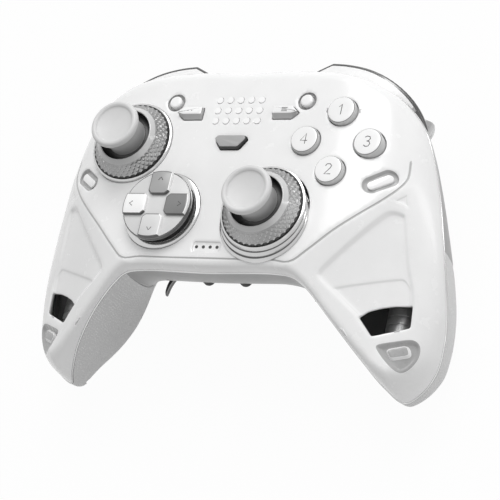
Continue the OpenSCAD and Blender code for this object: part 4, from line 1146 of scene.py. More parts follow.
@dataclass
class FrontShell:
    """Glossy front half with its openings, sunk panels and pressed lines."""

    pitch: float = 1.1
    rings: tuple[float, ...] = (0, 0.004, 0.02, 0.05, 0.1, 0.17, 0.25, 0.33)
    stick_bore: float = 16.22
    disc_bore: float = 15.02
    button_bore: float = 5.6
    panel: tuple[tuple[float, float], ...] = (
        (42, -17.4), (43.2, -15.4), (61.2, 7.2), (63.4, 8.6), (66.6, 8.7), (67.8, 7.6), (70.4, -9),
        (72.6, -17),
        (73, -21), (72.8, -29), (71.6, -30.3), (61.6, -35.6), (60.2, -35.2), (55.6, -29.8), (42.4, -19.4))
    step: tuple[tuple[float, float], ...] = (
        (47.1, -21.3), (59.3, -16.6), (68.7, -12.8), (71, -15.6), (71.4, -21), (71.2, -28.4), (61.4, -33.8),
        (57, -28.8))
    window: tuple[tuple[float, float], ...] = (
        (56.4, -29.2), (59, -26.6), (62.6, -24.6), (66.6, -22.9), (72, -21.4), (72.2, -29.2), (61, -34.9))
    pocket: tuple[tuple[float, float], ...] = (
        (62.8, -38.4), (63.4, -37.2), (73.2, -32.8), (75.2, -33.4), (75.8, -35.4), (75.2, -38.6),
        (73.2, -42.2),
        (70.8, -44.6), (68.6, -44.4), (65.4, -41.6))
    boss: tuple[tuple[float, float], ...] = (
        (65.6, -38.6), (66.4, -37.4), (71.2, -35.1), (72.4, -35.4), (73.2, -37.6), (72.6, -38.8), (68, -41),
        (67, -40.8))
    facet: tuple[tuple[float, float], ...] = ((63.9, 11.7), (67, 15), (67.6, 11))
    crease: tuple[tuple[float, float], ...] = (
        (0, -15.1), (14, -15.1), (26, -15.0), (32.9, -15.5), (38.6, -10.8), (46.5, -2.8), (54.2, 4.5),
        (60.6, 11),
        (65.2, 17.2), (66.6, 20.9), (66.4, 27))

    def features(self) -> list[Union[Recess, Groove]]:
        """Sunk fields and pressed lines on both sides."""
        found: list[Union[Recess, Groove]] = []
        for side in Side:
            found += [
                Recess(mirrored(rounded(self.panel, 1.8), side), 1.2, 1.7),
                Recess(mirrored(rounded(self.step, 1.4), side), 0.45, 0.8),
                Recess(mirrored(rounded(self.pocket, 2.2), side), 1.5, 1.6),
                Recess(mirrored(rounded(self.boss, 1.2), side), -0.95, 0.6),
                Recess(mirrored(rounded(self.facet, 0.5, 0.4), side), 0.3, 0.35),
                Recess(mirrored(LAYOUT.stadium(12.8, 6.6), side), 1.5, 0.8),
                Recess(circle((LAYOUT.round_at[0] * side.value, LAYOUT.round_at[1]), 3.6), 0.8, 0.3)]
        strip = np.array([[-5.5, -2], [5.5, -2], [5.5, 2], [-5.5, 2]]) + np.array(LAYOUT.strip_at)
        return found + [Groove(self._crease()), Recess(rounded(strip, 1.2, 0.5), 0.5, 0.25)]

    def _crease(self) -> Array:
        """Pressed line across the whole face."""
        right = close_points(open_curve(self.crease, 4), 0.7, False)
        return np.vstack([mirrored(right, Side.LEFT)[:0:-1], right])

    def holes(self) -> list[Hole]:
        """Openings for the controls, the lamps and the panes."""
        found = [Hole(circle(LAYOUT.stick(side), self.stick_bore, 128), 0.25) for side in Side]
        found.append(Hole(circle(LAYOUT.disc, self.disc_bore, 112), 0.25))
        found += [Hole(circle(at, self.button_bore, 64)) for at in LAYOUT.face_buttons().values()]
        found += [Hole(circle(at, 1.37, 20), 0.12) for at in LAYOUT.lamps()]
        found.append(Hole(rounded(tab_outline(0.3) + np.array(LAYOUT.middle_at), 0.7), 0.25))
        for side in Side:
            flip = np.array([side.value, 1])
            found.append(Hole(circle(np.array(LAYOUT.round_at) * flip, 2.7, 36), 0.15))
            found.append(Hole((rounded(flag_outline(0.3), 0.6) + np.array(LAYOUT.flag_at)) * flip, 0.25))
            found.append(Hole(mirrored(rounded(self.window, 0.7), side), 0.35))
        return found

    def build(self) -> None:
        """Make the shell."""
        features = self.features()
        closed = [line for item in features if isinstance(item, Recess) for line in item.lines()]
        opened = [line for item in features if isinstance(item, Groove) for line in item.lines()]
        plan = PlanMesh(np.array(self.rings), SHAPE.loop[:, 3], self.pitch, self.holes(), closed, opened)
        relief = sum(item.relief(plan.points) for item in features)
        upper = SHAPE.front_z(plan.points, 0, relief) - plan.drop
        lower = SHAPE.front_z(plan.points, SHAPE.wall)
        sketch = plan.solid(upper, np.minimum(lower, upper), tones=self._tones(plan))
        sketch.build("front_shell_skin", [WHITE, POCKET_GREY_AND_SHADE, PAINTED_GAP_SHADE, PAINTED_CREASE_SHADE, PAINTED_POCKET_SHADE], HOUSING, "white",
                     ["front_shell"], 60)

    def _tones(self, plan: PlanMesh) -> Array:
        """Finish number of each face: painted shade in pockets, round small buttons and in the pressed line.
        """
        middles = plan.middles()
        tones = np.zeros(len(middles), int)
        for side in Side:
            tones[inside(middles, mirrored(offset(LAYOUT.stadium(12.8, 6.6), -0.2), side))] = 1
            seat = circle((LAYOUT.round_at[0] * side.value, LAYOUT.round_at[1]), 3.5)
            tones[inside(middles, seat)] = 2
            boss = Recess(mirrored(rounded(self.boss, 1.2), side), -0.95, 0.6).lines()
            for line, tone in ((mirrored(rounded(self.pocket, 2.2), side), 4), (boss[0], 0), (boss[-1], 4)):
                tones[inside(middles, line)] = tone
        tones[distance_to(middles, self._crease(), False) < 0.3] = 3
        return tones


@dataclass
class RearShell:
    """Rear half with the bays of the shoulders, and the textured covers on its grips."""

    pitch: float = 1.6
    rings: tuple[float, ...] = (0, 0.006, 0.025, 0.06, 0.12, 0.2, 0.3)
    inset: float = 3.7
    cover_t: float = 1.5
    cover_x: float = 34.7
    cover_share: float = 0.66
    cover_gap: float = 0.3
    edge_at: tuple[float, float] = (66.0, -49.0)
    edge_lean: float = 0.16
    edge_w: float = 11.0
    bumper_span: tuple[int, int] = (1, 5)
    bumper_floor: float = -19.5
    bumper_depth: float = 5.2
    bay_at: tuple[float, float] = (47.0, 51.0)
    bay_turn: float = -21.0
    bay_x: tuple[float, float] = (-15.3, 18.5)
    bay_in: float = -8.0
    screws: tuple[tuple[float, float], ...] = ((13, 50), (-13, 50), (0, -3))
    pad_at: tuple[float, float] = (7.4, -14.3)
    slot: tuple[float, float] = (9.3, 3.6)
    slot_z: float = -14.0
    slot_y: tuple[float, float] = (52.0, 64.0)

    def shares(self) -> Array:
        """Ring places at each station; in the bumper's stretch the third ring runs along its floor."""
        shares = np.tile(np.array(self.rings), (len(SHAPE.loop), 1))
        for start, stop in self.bumper_stretches():
            rows = np.arange(start, stop + 1)
            seam = SHAPE.loop[rows]
            top = seam[:, 2] - SHAPE.trim_h
            full = top - SHAPE.back_z(seam[:, :2] + SHAPE.inward[rows] * 1.0)
            level = np.clip((top - self.bumper_floor) / full, 0.02, 1)
            place = 1 - (1 - level ** SHAPE.rear_power) ** (1 / SHAPE.rear_power)
            shares[rows, 1] = place / 2
            shares[rows, 2] = place
            for k in range(3, shares.shape[1]):
                shares[rows, k] = place + (self.rings[-1] - place) * (k - 2) / (shares.shape[1] - 3)
        return shares

    def bumper_stretches(self) -> list[tuple[int, int]]:
        """First and last station of the bumpers on the right and on the left."""
        count = len(SHAPE.loop)
        start, stop = (SHAPE.seam_steps * k for k in self.bumper_span)
        return [(start, stop), (count - stop, count - start)]

    def bay_line(self, border: Array) -> tuple[int, int, Array]:
        """Edge of the right trigger's bay from ring to ring.

        Args:
            border: the last ring.

        Returns:
            The first and last station, and the line between them.
        """
        lie = math.radians(self.bay_turn)
        along = np.array([math.cos(lie), math.sin(lie)])
        up = np.array([-along[1], along[0]])
        corners = [np.array(self.bay_at) + along * x + up * self.bay_in for x in self.bay_x]
        half = len(border) // 2
        ends = []
        for corner in corners:
            away = border[:half] - corner
            side = np.abs(away @ along) + 1000 * (away @ up < 0)
            ends.append(int(side.argmin()))
        line = np.vstack([border[ends[0]], corners[0], corners[1], border[ends[1]]])
        return ends[0], ends[1], close_points(line, 1.2, False)

    def cover_line(self, border: Array) -> tuple[int, int, Array]:
        """Upper and inner edge of the right cover from ring to ring."""
        half = len(border) // 2
        turn = 10 * SHAPE.seam_steps
        seam = SHAPE.loop[:half + 1]
        across = np.arange(self.cover_x, 79.5, 0.8)
        low = np.interp(across, seam[turn:][::-1, 0], seam[turn:][::-1, 1])
        high = np.interp(across, seam[:turn + 1, 0], seam[:turn + 1, 1])
        edge = np.stack([across, low + self.cover_share * (high - low)], 1)
        edge = edge[inside(edge, border) & (distance_to(edge, border) > 0.8)]
        upper_end = int(np.linalg.norm(border[:turn] - edge[-1], axis=1).argmin())
        lower_end = turn + int(np.abs(border[turn:half, 0] - self.cover_x).argmin())
        start = border[lower_end]
        side = np.array([[self.cover_x, y] for y in np.arange(start[1] + 1.2, edge[0, 1], 1.2)])
        return upper_end, lower_end, np.vstack([start, side, edge, border[upper_end]])

    def build(self) -> None:
        """Make the rear shell and both covers."""
        shares = self.shares()
        border = PlanMesh.rings(shares, SHAPE.loop[:, 4])[-1]
        count = len(border)
        bay_start, bay_stop, bay = self.bay_line(border)
        cover_start, cover_stop, cover = self.cover_line(border)
        flip = np.array([-1, 1])
        holes = [Hole(circle(at, 2.52, 40), 0.2) for at in self.screws]
        holes += [Hole(circle((side.value * self.pad_at[0], self.pad_at[1]), 2.52, 40), 0.2) for side in Side]
        outer_cover = self._grown(cover)
        lines = [bay, bay * flip, cover, cover * flip, outer_cover, outer_cover * flip]
        plan = PlanMesh(shares, SHAPE.loop[:, 4], self.pitch, holes, [], lines)
        rows = range(len(self.rings))
        covers = {Side.RIGHT: plan.patch(cover_start, cover_stop, cover, rows),
                  Side.LEFT: plan.patch(count - cover_stop, count - cover_start, cover * flip, rows)}
        bays = plan.patch(bay_start, bay_stop, bay, rows)
        bays |= plan.patch(count - bay_stop, count - bay_start, bay * flip, rows)
        for start, stop in self.bumper_stretches():
            bays |= np.array([0 <= k < 2 and start <= i < stop for k, i in plan.band])
        self._shell(plan, covers, ~bays)
        for side, keep in covers.items():
            self._cover(plan, side, keep)

    def _grown(self, line: Array) -> Array:
        """Line of the recess round a cover, a gap outside the cover's own edge."""
        along = np.gradient(line, axis=0)
        along /= np.linalg.norm(along, axis=1)[:, None]
        grown = line + np.stack([-along[:, 1], along[:, 0]], 1) * self.cover_gap
        return grown[2:-2]

    def _touched(self, plan: PlanMesh, keep: Array) -> Array:
        """Which points belong to the kept faces."""
        found = np.zeros(len(plan.points), bool)
        for face, kept in zip(plan.faces, keep):
            if kept:
                found[list(face)] = True
        return found

    def _shell(self, plan: PlanMesh, covers: dict[Side, Array], keep: Array) -> None:
        """Make the shell itself."""
        sunk = self._touched(plan, covers[Side.LEFT]) | self._touched(plan, covers[Side.RIGHT])
        outer = SHAPE.rear_z(plan.points, 0, np.where(sunk, self.cover_t + 0.12, 0)) + plan.drop
        inner = SHAPE.rear_z(plan.points, self.inset)
        away = SHAPE.nearest(plan.points)[0]
        across = np.abs(plan.points[:, 0])
        floor = (away < self.bumper_depth) & (across > 21) & (across < 66.5) & (plan.points[:, 1] > 40)
        inner = np.where(floor, np.minimum(inner, self.bumper_floor), inner)
        sketch = plan.solid(np.maximum(inner, outer), outer, keep)
        for side in Side:
            for x in (13.1, 21.9):
                low, high = sorted((x * side.value, (x + 2) * side.value))
                sketch.block((low, 4, -31.4), (high, 8, -25.4))
            sketch.rod((14.5 * side.value, 6, -29.4), (22.5 * side.value, 6, -29.4), 1.0)
        self._slot(sketch.build("rear_shell_skin", [GREY], HOUSING, "grey", ["rear_shell"], 40))

    def _slot(self, shell: bpy.types.Object) -> None:
        """Cut the opening of the charging socket through the top wall."""
        wide, high = self.slot
        turn = np.radians(np.arange(48) * 7.5 + 3.75)
        reach = np.where(np.cos(turn) > 0, 1, -1) * (wide - high) / 2
        across, up = reach + high / 2 * np.cos(turn), self.slot_z + high / 2 * np.sin(turn)
        sketch = Sketch()
        rings = [sketch.ring(np.column_stack([across, np.full(len(turn), y), up])) for y in self.slot_y]
        sketch.bridge(rings[0], rings[1])
        sketch.face(rings[0][::-1])
        sketch.face(rings[1])
        tool = sketch.build("slot_tool", [GREY], HOUSING, "grey")
        cut = shell.modifiers.new("slot", "BOOLEAN")
        cut.operation = "DIFFERENCE"
        cut.solver = "EXACT"
        cut.object = tool
        view = bpy.context.evaluated_depsgraph_get()
        mesh = bpy.data.meshes.new_from_object(shell.evaluated_get(view))
        shell.modifiers.clear()
        shell.data = mesh
        bpy.data.objects.remove(tool)

    def _cover(self, plan: PlanMesh, side: Side, keep: Array) -> None:
        """Make one textured cover."""
        outer = SHAPE.rear_z(plan.points)
        inner = SHAPE.rear_z(plan.points, 0, self.cover_t, 0.4)
        rim = self._touched(plan, ~keep) & self._touched(plan, keep)
        outer = np.where(rim, outer + np.minimum(0.35, 0.3 * (inner - outer)), outer)
        middles = plan.middles()
        edge_x = self.edge_at[0] - self.edge_lean * (middles[:, 1] - self.edge_at[1])
        smooth = (np.abs(middles[:, 0]) > edge_x) & (SHAPE.nearest(middles)[0] < self.edge_w)
        sketch = plan.solid(np.maximum(inner, outer), outer, keep, smooth.astype(int))
        sketch.build(f"{side.word}_grip_cover_skin", [GRIP, GREY], HOUSING, "grip",
                     [f"{side.word}_grip_cover"], 40)


@dataclass
class TrimBand:
    """Bright bead that runs all round between the shells, with painted shade on its lower half."""

    depth: float = 2.2
    proud: float = 0.45
    dark_to: float = -0.1

    def build(self) -> None:
        """Make the bead."""
        half = SHAPE.trim_h / 2
        turn = np.radians(np.linspace(-80, 80, 9))
        section = np.vstack([[[-self.depth, -half + 0.2]],
                             np.stack([self.proud * np.cos(turn) - 0.1, (half - 0.12) * np.sin(turn)], 1),
                             [[-self.depth, half - 0.2]]])
        rings = []
        for point, inward in zip(SHAPE.loop, SHAPE.inward):
            flat = point[:2] - inward * section[:, :1]
            rings.append(np.column_stack([flat, point[2] - half + section[:, 1]]))
        sketch = Sketch()
        marks = [sketch.ring(ring) for ring in rings]
        # Faces below dark_to take painted shade, darkening the bead's underside.
        under = [1 if height < self.dark_to else 0 for height in section[:, 1]]
        for low, high in zip(marks, marks[1:] + marks[:1]):
            sketch.bridge(low, high, True, under)
        sketch.build("trim_bead", [BRIGHT, PAINTED_SHADE], HOUSING, "bright", ["trim_band"], 50)


# Controls


@dataclass
class ThumbStick:
    """Stick with its polished bezel, knurled collar, dome and dished cap."""

    side: Side
    cap_r: float = 9.2
    cap_h: float = 15.6
    dish_r: float = 7.2
    ring_r: float = 14.9
    ring_h: float = 6.6
    bezel_r: float = 16.1
    stage_h: float = 2.6
    base_shift: tuple[float, float] = (-0.1, -2.9)
    mouth_r: float = 9.9
    barrel_r: float = 7.2
    barrel_flare: float = 0.6
    neck_in: float = 13.2
    neck_out: float = 13.9
    pivot_z: float = -10.0
    skirt_r: float = 16.3
    skirt_t: float = 1.0
    skirt_edge: float = 40.0
    knurls: int = 40
    knurl_end: float = 0.7

    @property
    def at(self) -> tuple[float, float]:
        """Plan place of the stick."""
        return LAYOUT.stick(self.side)

    @property
    def lift(self) -> float:
        """How far it stands above the height of the left one."""
        return self.stage_h if self.side is Side.RIGHT else 0.0

    def bezel(self) -> None:
        """Polished rim round the collar, at the right on a base whose steps lean towards the player."""
        up, r = self.lift, self.bezel_r
        # Rows whose last value is 1 start a stretch of painted shade: the ledge and wall in the gap under the
        # collar and the faces under the base's steps.
        rows = [(self.neck_in, -1.6, 0, 0), (self.neck_in, up + 1.5, 0, 0), (self.neck_out, up + 1.5, 0, 0),
                (self.neck_out, up + 0.3, 0, 1), (self.ring_r + 0.3, up + 0.3, 0, 1),
                (self.ring_r + 0.3, up + 0.65, 0, 0),
                (self.ring_r + 0.4, up + 0.8, 0, 0), (r - 0.5, up + 0.8, 0, 0), (r - 0.15, up + 0.65, 0, 0),
                (r, up + 0.3, 0, 0)]
        if up:
            rows += [(r, up - 0.3, 0.08, 1), (r + 0.02, up - 0.5, 0.22, 0), (r + 0.12, up - 0.6, 0.42, 0),
                     (r + 0.26, up - 0.75, 0.5, 0), (r + 0.3, up - 1.0, 0.52, 0), (r + 0.3, 1.1, 0.55, 1),
                     (r + 0.32, 0.95, 0.7, 0), (r + 0.42, 0.85, 0.9, 0), (r + 0.56, 0.7, 0.98, 0),
                     (r + 0.6, 0.45, 1, 0),
                     (r + 0.6, -0.9, 1, 0), (r, -0.9, 0.5, 0)]
        rows += [(r, -5, 0, 0), (r - 1.6, -5, 0, 0), (r - 1.6, -1.6, 0, 0)]
        middles = [np.array(self.at) + share * np.array(self.base_shift) for _, _, share, _ in rows]
        sketch = Sketch()
        sketch.lathe([row[:2] for row in rows], middles, 128, [row[3] for row in rows])
        sketch.build(f"{self.side.word}_bezel", [BRIGHT, PAINTED_SHADE], HOUSING, "white",
                     [f"{self.side.word}_stick_bezel"], 35)

    def collar(self) -> None:
        """Cone with crossed knurls on its lower part and a smooth upper part whose lighter tone is a painted
        sheen.
        """
        up, inner, lip = self.lift, self.neck_out + 0.05, self.mouth_r + 0.7
        share = np.linspace(0, 1, 41)
        flank = np.stack([self.ring_r + (lip - self.ring_r) * share,
                          up + 1.6 + (self.ring_h - 0.2 - 1.6) * share + 0.25 * np.sin(math.pi * share)], 1)
        roll = [(lip - 0.15, up + self.ring_h - 0.05), (self.mouth_r + 0.3, up + self.ring_h),
                (self.mouth_r + 0.08, up + self.ring_h - 0.1), (self.mouth_r, up + self.ring_h - 0.35)]
        foot = [(inner, up + 0.6), (self.ring_r - 0.2, up + 0.6), (self.ring_r, up + 0.8)]
        throat = [(self.mouth_r, up + self.ring_h - 1.6), (self.neck_in, up + 1.8), (inner, up + 1.8)]
        smooth = round((self.knurl_end + 0.02) * (len(share) - 1))
        tones = [2] * len(foot) + [0] * smooth
        tones += [1] * (len(share) - smooth + len(roll) - 1) + [2] * (len(throat) + 1)

        def wave(turn: Array, place: int) -> Array:
            """Depth between the knurls, fading towards the smooth part."""
            run = (place - len(foot)) / (len(share) - 1)
            if not 0 <= run < self.knurl_end:
                return np.zeros(len(turn))
            fade = min(1.0, 5 * (self.knurl_end - run))
            lean = turn * self.knurls / 2
            cross = np.abs(np.sin(lean + run * 10)) * np.abs(np.sin(lean - run * 10))
            return -0.45 * fade * (1 - cross ** 2)

        sketch = Sketch()
        sketch.lathe([*foot, *flank, *roll, *throat], self.at, self.knurls * 10, tones, wave=wave)
        sketch.build(f"{self.side.word}_knurled_collar", [STEEL, SILVER_SHEEN_AND_SHADE, DARK], f"{self.side.word}_ring",
                     "steel",
                     [f"{self.side.word}_tension_ring"], 60)

    def _ball(self, radius: float, angles: Array) -> list[tuple[float, float]]:
        """Profile points on a ball about the pivot, by angle from the upright in degrees."""
        return [(radius * math.sin(a), self.lift + self.pivot_z + radius * math.cos(a))
                for a in np.radians(angles)]

    def cap(self) -> None:
        """Soft cap with a rolled rim and a dished top, on a barrel that stands on a dark dome."""
        up, top, reach, rim = self.lift, self.cap_h + self.lift, self.cap_r, self.dish_r
        inner_r = self.skirt_r - self.skirt_t
        stem = [(0.0, up - 4), (2.8, up - 4), (3.4, up - 1.8)]
        under = self._ball(inner_r, np.linspace(math.degrees(math.asin(3.4 / inner_r)), self.skirt_edge, 9))
        foot = math.degrees(math.asin((self.barrel_r + 0.35) / self.skirt_r))
        dome = self._ball(self.skirt_r, np.linspace(self.skirt_edge, foot, 9))
        barrel_top = self.barrel_r + self.barrel_flare
        barrel = [(self.barrel_r + 0.1, dome[-1][1] + 0.15), (self.barrel_r, dome[-1][1] + 0.5),
                  (self.barrel_r, up + 7.8), (barrel_top, up + 10.2), (barrel_top + 0.3, top - 3.6),
                  (reach - 0.9, top - 2.8)]
        roll = [(reach - 1.1 + 1.1 * math.cos(a), top - 1.7 + 1.1 * math.sin(a))
                for a in np.radians(np.arange(-66, 1, 11))]
        roll += [(reach - 1.1 + 1.1 * math.cos(a), top - 1.1 + 1.1 * math.sin(a))
                 for a in np.radians(np.arange(0, 113, 8))]
        roll += [(rim + 0.1, top - 0.34), (rim, top - 0.42), (rim - 0.08, top - 0.62),
                 (rim - 0.2, top - 0.78)]
        dish = [(r, top - 2.0 + 1.2 * (r / rim) ** 2) for r in (6.6, 5.4, 4.0, 2.5, 1.2, 0.0)]
        tones = [1] * (len(stem) + len(under) + len(dome)) + [2] * 4
        tones += [0] * (len(barrel) + len(roll) + len(dish) - 5)
        sketch = Sketch()
        sketch.lathe(stem + under + dome + barrel + roll + dish, self.at, 128, tones, looped=False)
        sketch.build(f"{self.side.word}_cap", [SOFT, DARK, BARREL], f"{self.side.word}_stick", "soft",
                     [f"{self.side.word}_stick_cap"], 50)

    def build(self) -> None:
        """Make all of it."""
        self.bezel()
        self.collar()
        self.cap()


@dataclass
class DirectionPad:
    """Disc with four raised pads on a bright base ring; the pads' four greys are painted reflections."""

    radius: float = 13.3
    top: float = 5.0
    thick: float = 2.6
    rim: float = 1.6
    pad_t: float = 1.15

    def build(self) -> None:
        """Make the base, the disc, the pads and their marks."""
        r, base = self.radius, self.radius + self.rim
        sketch = Sketch()
        # The inner stretches under the disc take painted shade.
        sketch.lathe([(5.6, -3.2), (5.6, -1.8), (r - 1, -1.8), (r - 1, 0.3), (r - 0.6, 0.62),
                      (base - 0.5, 0.62),
                      (base - 0.15, 0.45), (base, 0.1), (base, -3.2)], LAYOUT.disc, 112,
                      [1, 1, 1, 1, 0, 0, 0, 0, 0])
        for side in (-1, 1):
            x, y = LAYOUT.disc
            sketch.block((x + side * 6 - 0.8, y - 2.4, -8.1), (x + side * 6 + 0.8, y + 2.4, -1.9))
        sketch.build("disc_base", [BRIGHT, PAINTED_SHADE], HOUSING, "bright", ["dpad_base"], 35)
        sketch = Sketch()
        low = self.top - self.thick
        # The disc's side takes the dark chrome as painted shade.
        sketch.lathe([(0, low), (r - 1, low), (r - 0.3, low + 0.4), (r, low + 0.9), (r, self.top - 0.45),
                      (r - 0.12, self.top - 0.15), (r - 0.45, self.top), (0, self.top)], LAYOUT.disc, 112,
                     [0, 1, 1, 1, 1, 1, 0], looped=False)
        x, y = LAYOUT.disc
        sketch.rod((x, y, -8), (x, y, low + 0.3), 2.0)
        sketch.rod((x, y - 3.6, -6.5), (x, y + 3.6, -6.5), 0.75)
        sketch.build("direction_disc", [PALE_AND_REFLECTION, CHROME_AND_SHADE], "dpad", "white", ["dpad_disc"], 35)
        # Each pad's grey is a painted reflection of the surroundings in a tilted pad.
        for name, turn, finish in (("up", 90, MID_AND_REFLECTION), ("down", 270, PALE_AND_REFLECTION), ("left", 180, REFLECTION_WHITE),
                                   ("right", 0, REFLECTION_DARK)):
            self._pad(name, turn, finish)

    def _pad(self, name: str, turn: float, finish: Finish) -> None:
        """Make one pad with an arrow on it, with painted shade on its sides and a painted highlight on the
        sides that face right.
        """
        inner, half, nip, edge = 3.9, 4.1, 1.3, self.radius - 0.3
        end = np.arcsin(half / edge)
        arc = [(edge * math.cos(a), edge * math.sin(a)) for a in np.linspace(-end, end, 9)]
        outline = rounded([(inner, nip - half), (inner + nip, -half), *arc, (inner + nip, half),
                           (inner, half - nip)], 0.35, 0.5)
        lie = math.radians(turn)
        spin = np.array([[math.cos(lie), math.sin(lie)], [-math.sin(lie), math.cos(lie)]])
        place = np.array(LAYOUT.disc)
        flat = outline @ spin + place
        # Sides facing right get a painted highlight, the rest painted shade.
        painted_light_side = [2 if way > 0.75 else 1 for way in (offset(flat, 1) - flat) @ np.array([0.95, 0.3])]
        sketch = Sketch()
        rows = [(0.0, -0.05), (0.0, self.pad_t - 0.3), (0.1, self.pad_t - 0.12), (0.4, self.pad_t)]
        rings = [sketch.ring(np.column_stack([offset(flat, -shrink), np.full(len(flat), self.top + z)]))
                 for shrink, z in rows]
        for low, high in zip(rings, rings[1:]):
            sketch.bridge(low, high, True, painted_light_side)
        sketch.face(rings[0][::-1])
        sketch.face(rings[-1])
        sketch.build(f"pad_{name}", [finish, PAINTED_SHADE, REFLECTION_WHITE], "dpad", "white", [f"dpad_{name}_pad"], 40)
        arrow = np.array([[9.2, -0.9], [10.4, 0], [9.2, 0.9]]) @ spin + place
        mark = Sketch()
        stroke(mark, arrow, 0.28, self.top + self.pad_t)
        mark.build(f"pad_{name}_mark", [MARK], "dpad", "dark")


def stroke(sketch: Sketch, points: Array, width: float, height: float, thick: float = 0.04) -> None:
    """Draw an inlaid line on a flat top.

    Args:
        sketch: where it is drawn.
        points: plan points of the line.
        width: width of the line.
        height: height of the top.
        thick: how far the ink stands proud.
    """
    along = np.gradient(points, axis=0) if len(points) > 2 else np.repeat(points[1:] - points[:1], 2, 0)
    along = along / np.linalg.norm(along, axis=1)[:, None]
    across = np.stack([-along[:, 1], along[:, 0]], 1) * width / 2
    outline = np.vstack([points + across, (points - across)[::-1]])
    sketch.prism(outline, height - 0.1, height + thick)


NUMERALS: dict[str, tuple[tuple[tuple[float, float], ...], ...]] = {
    "1": (((-0.7, 1.0), (0.2, 1.9), (0.2, -1.9)),),
    "2": (((-1.1, 1.1), (-0.6, 1.8), (0.5, 1.8), (1.1, 1.1), (0.7, 0.2), (-1.1, -1.9), (1.2, -1.9)),),
    "3": (((-1.0, 1.5), (-0.3, 1.9), (0.7, 1.7), (1.0, 1.0), (0.5, 0.2), (-0.2, 0.1)),
          ((-0.2, 0.1), (0.7, -0.1), (1.1, -0.9), (0.6, -1.8), (-0.4, -1.9), (-1.1, -1.4))),
    "4": (((0.6, -1.9), (0.6, 1.9), (-1.2, -0.7), (1.3, -0.7)),)}


@dataclass
class FaceButtons:
    """Four round buttons, numbered."""

    radius: float = 5.3
    high: float = 1.9

    def build(self) -> None:
        """Make the buttons and their numerals."""
        for number, (name, at) in enumerate(LAYOUT.face_buttons().items(), 1):
            base = float(SHAPE.crown_z(np.array(at[0])))
            ledge = float(SHAPE.crown_z(np.array(at[0] + self.radius + 0.9))) - SHAPE.wall - 0.12
            top, r = base + self.high, self.radius
            turn = np.radians(np.arange(0, 91, 15))
            edge = [(r - 0.8 + 0.8 * math.cos(a), top - 0.8 + 0.8 * math.sin(a)) for a in turn]
            foot = [(0, -8.8), (2.4, -8.8), (2.4, ledge - 1), (r + 0.9, ledge - 1), (r + 0.9, ledge),
                    (r, ledge)]
            # Silver sides toned as painted shade, and a ring of painted shade on the rounded edge as a dark
            # outline.
            tones = [1] * (len(foot) + 3) + [2] + [0] * 4
            sketch = Sketch()
            sketch.lathe([*foot, *edge, (r * 0.5, top + 0.03), (0, top + 0.04)], at, 72, tones, looped=False)
            sketch.build(f"{name}_cap", [CAP_WHITE, SILVER_SHEEN_AND_SHADE, PAINTED_SHADE], name, "white", [f"{name}_button"], 40)
            mark = Sketch()
            for line in NUMERALS[str(number)]:
                stroke(mark, np.array(line) * 1.05 + np.array(at), 0.3, top + 0.03)
            mark.build(f"{name}_numeral", [MARK], name, "dark")


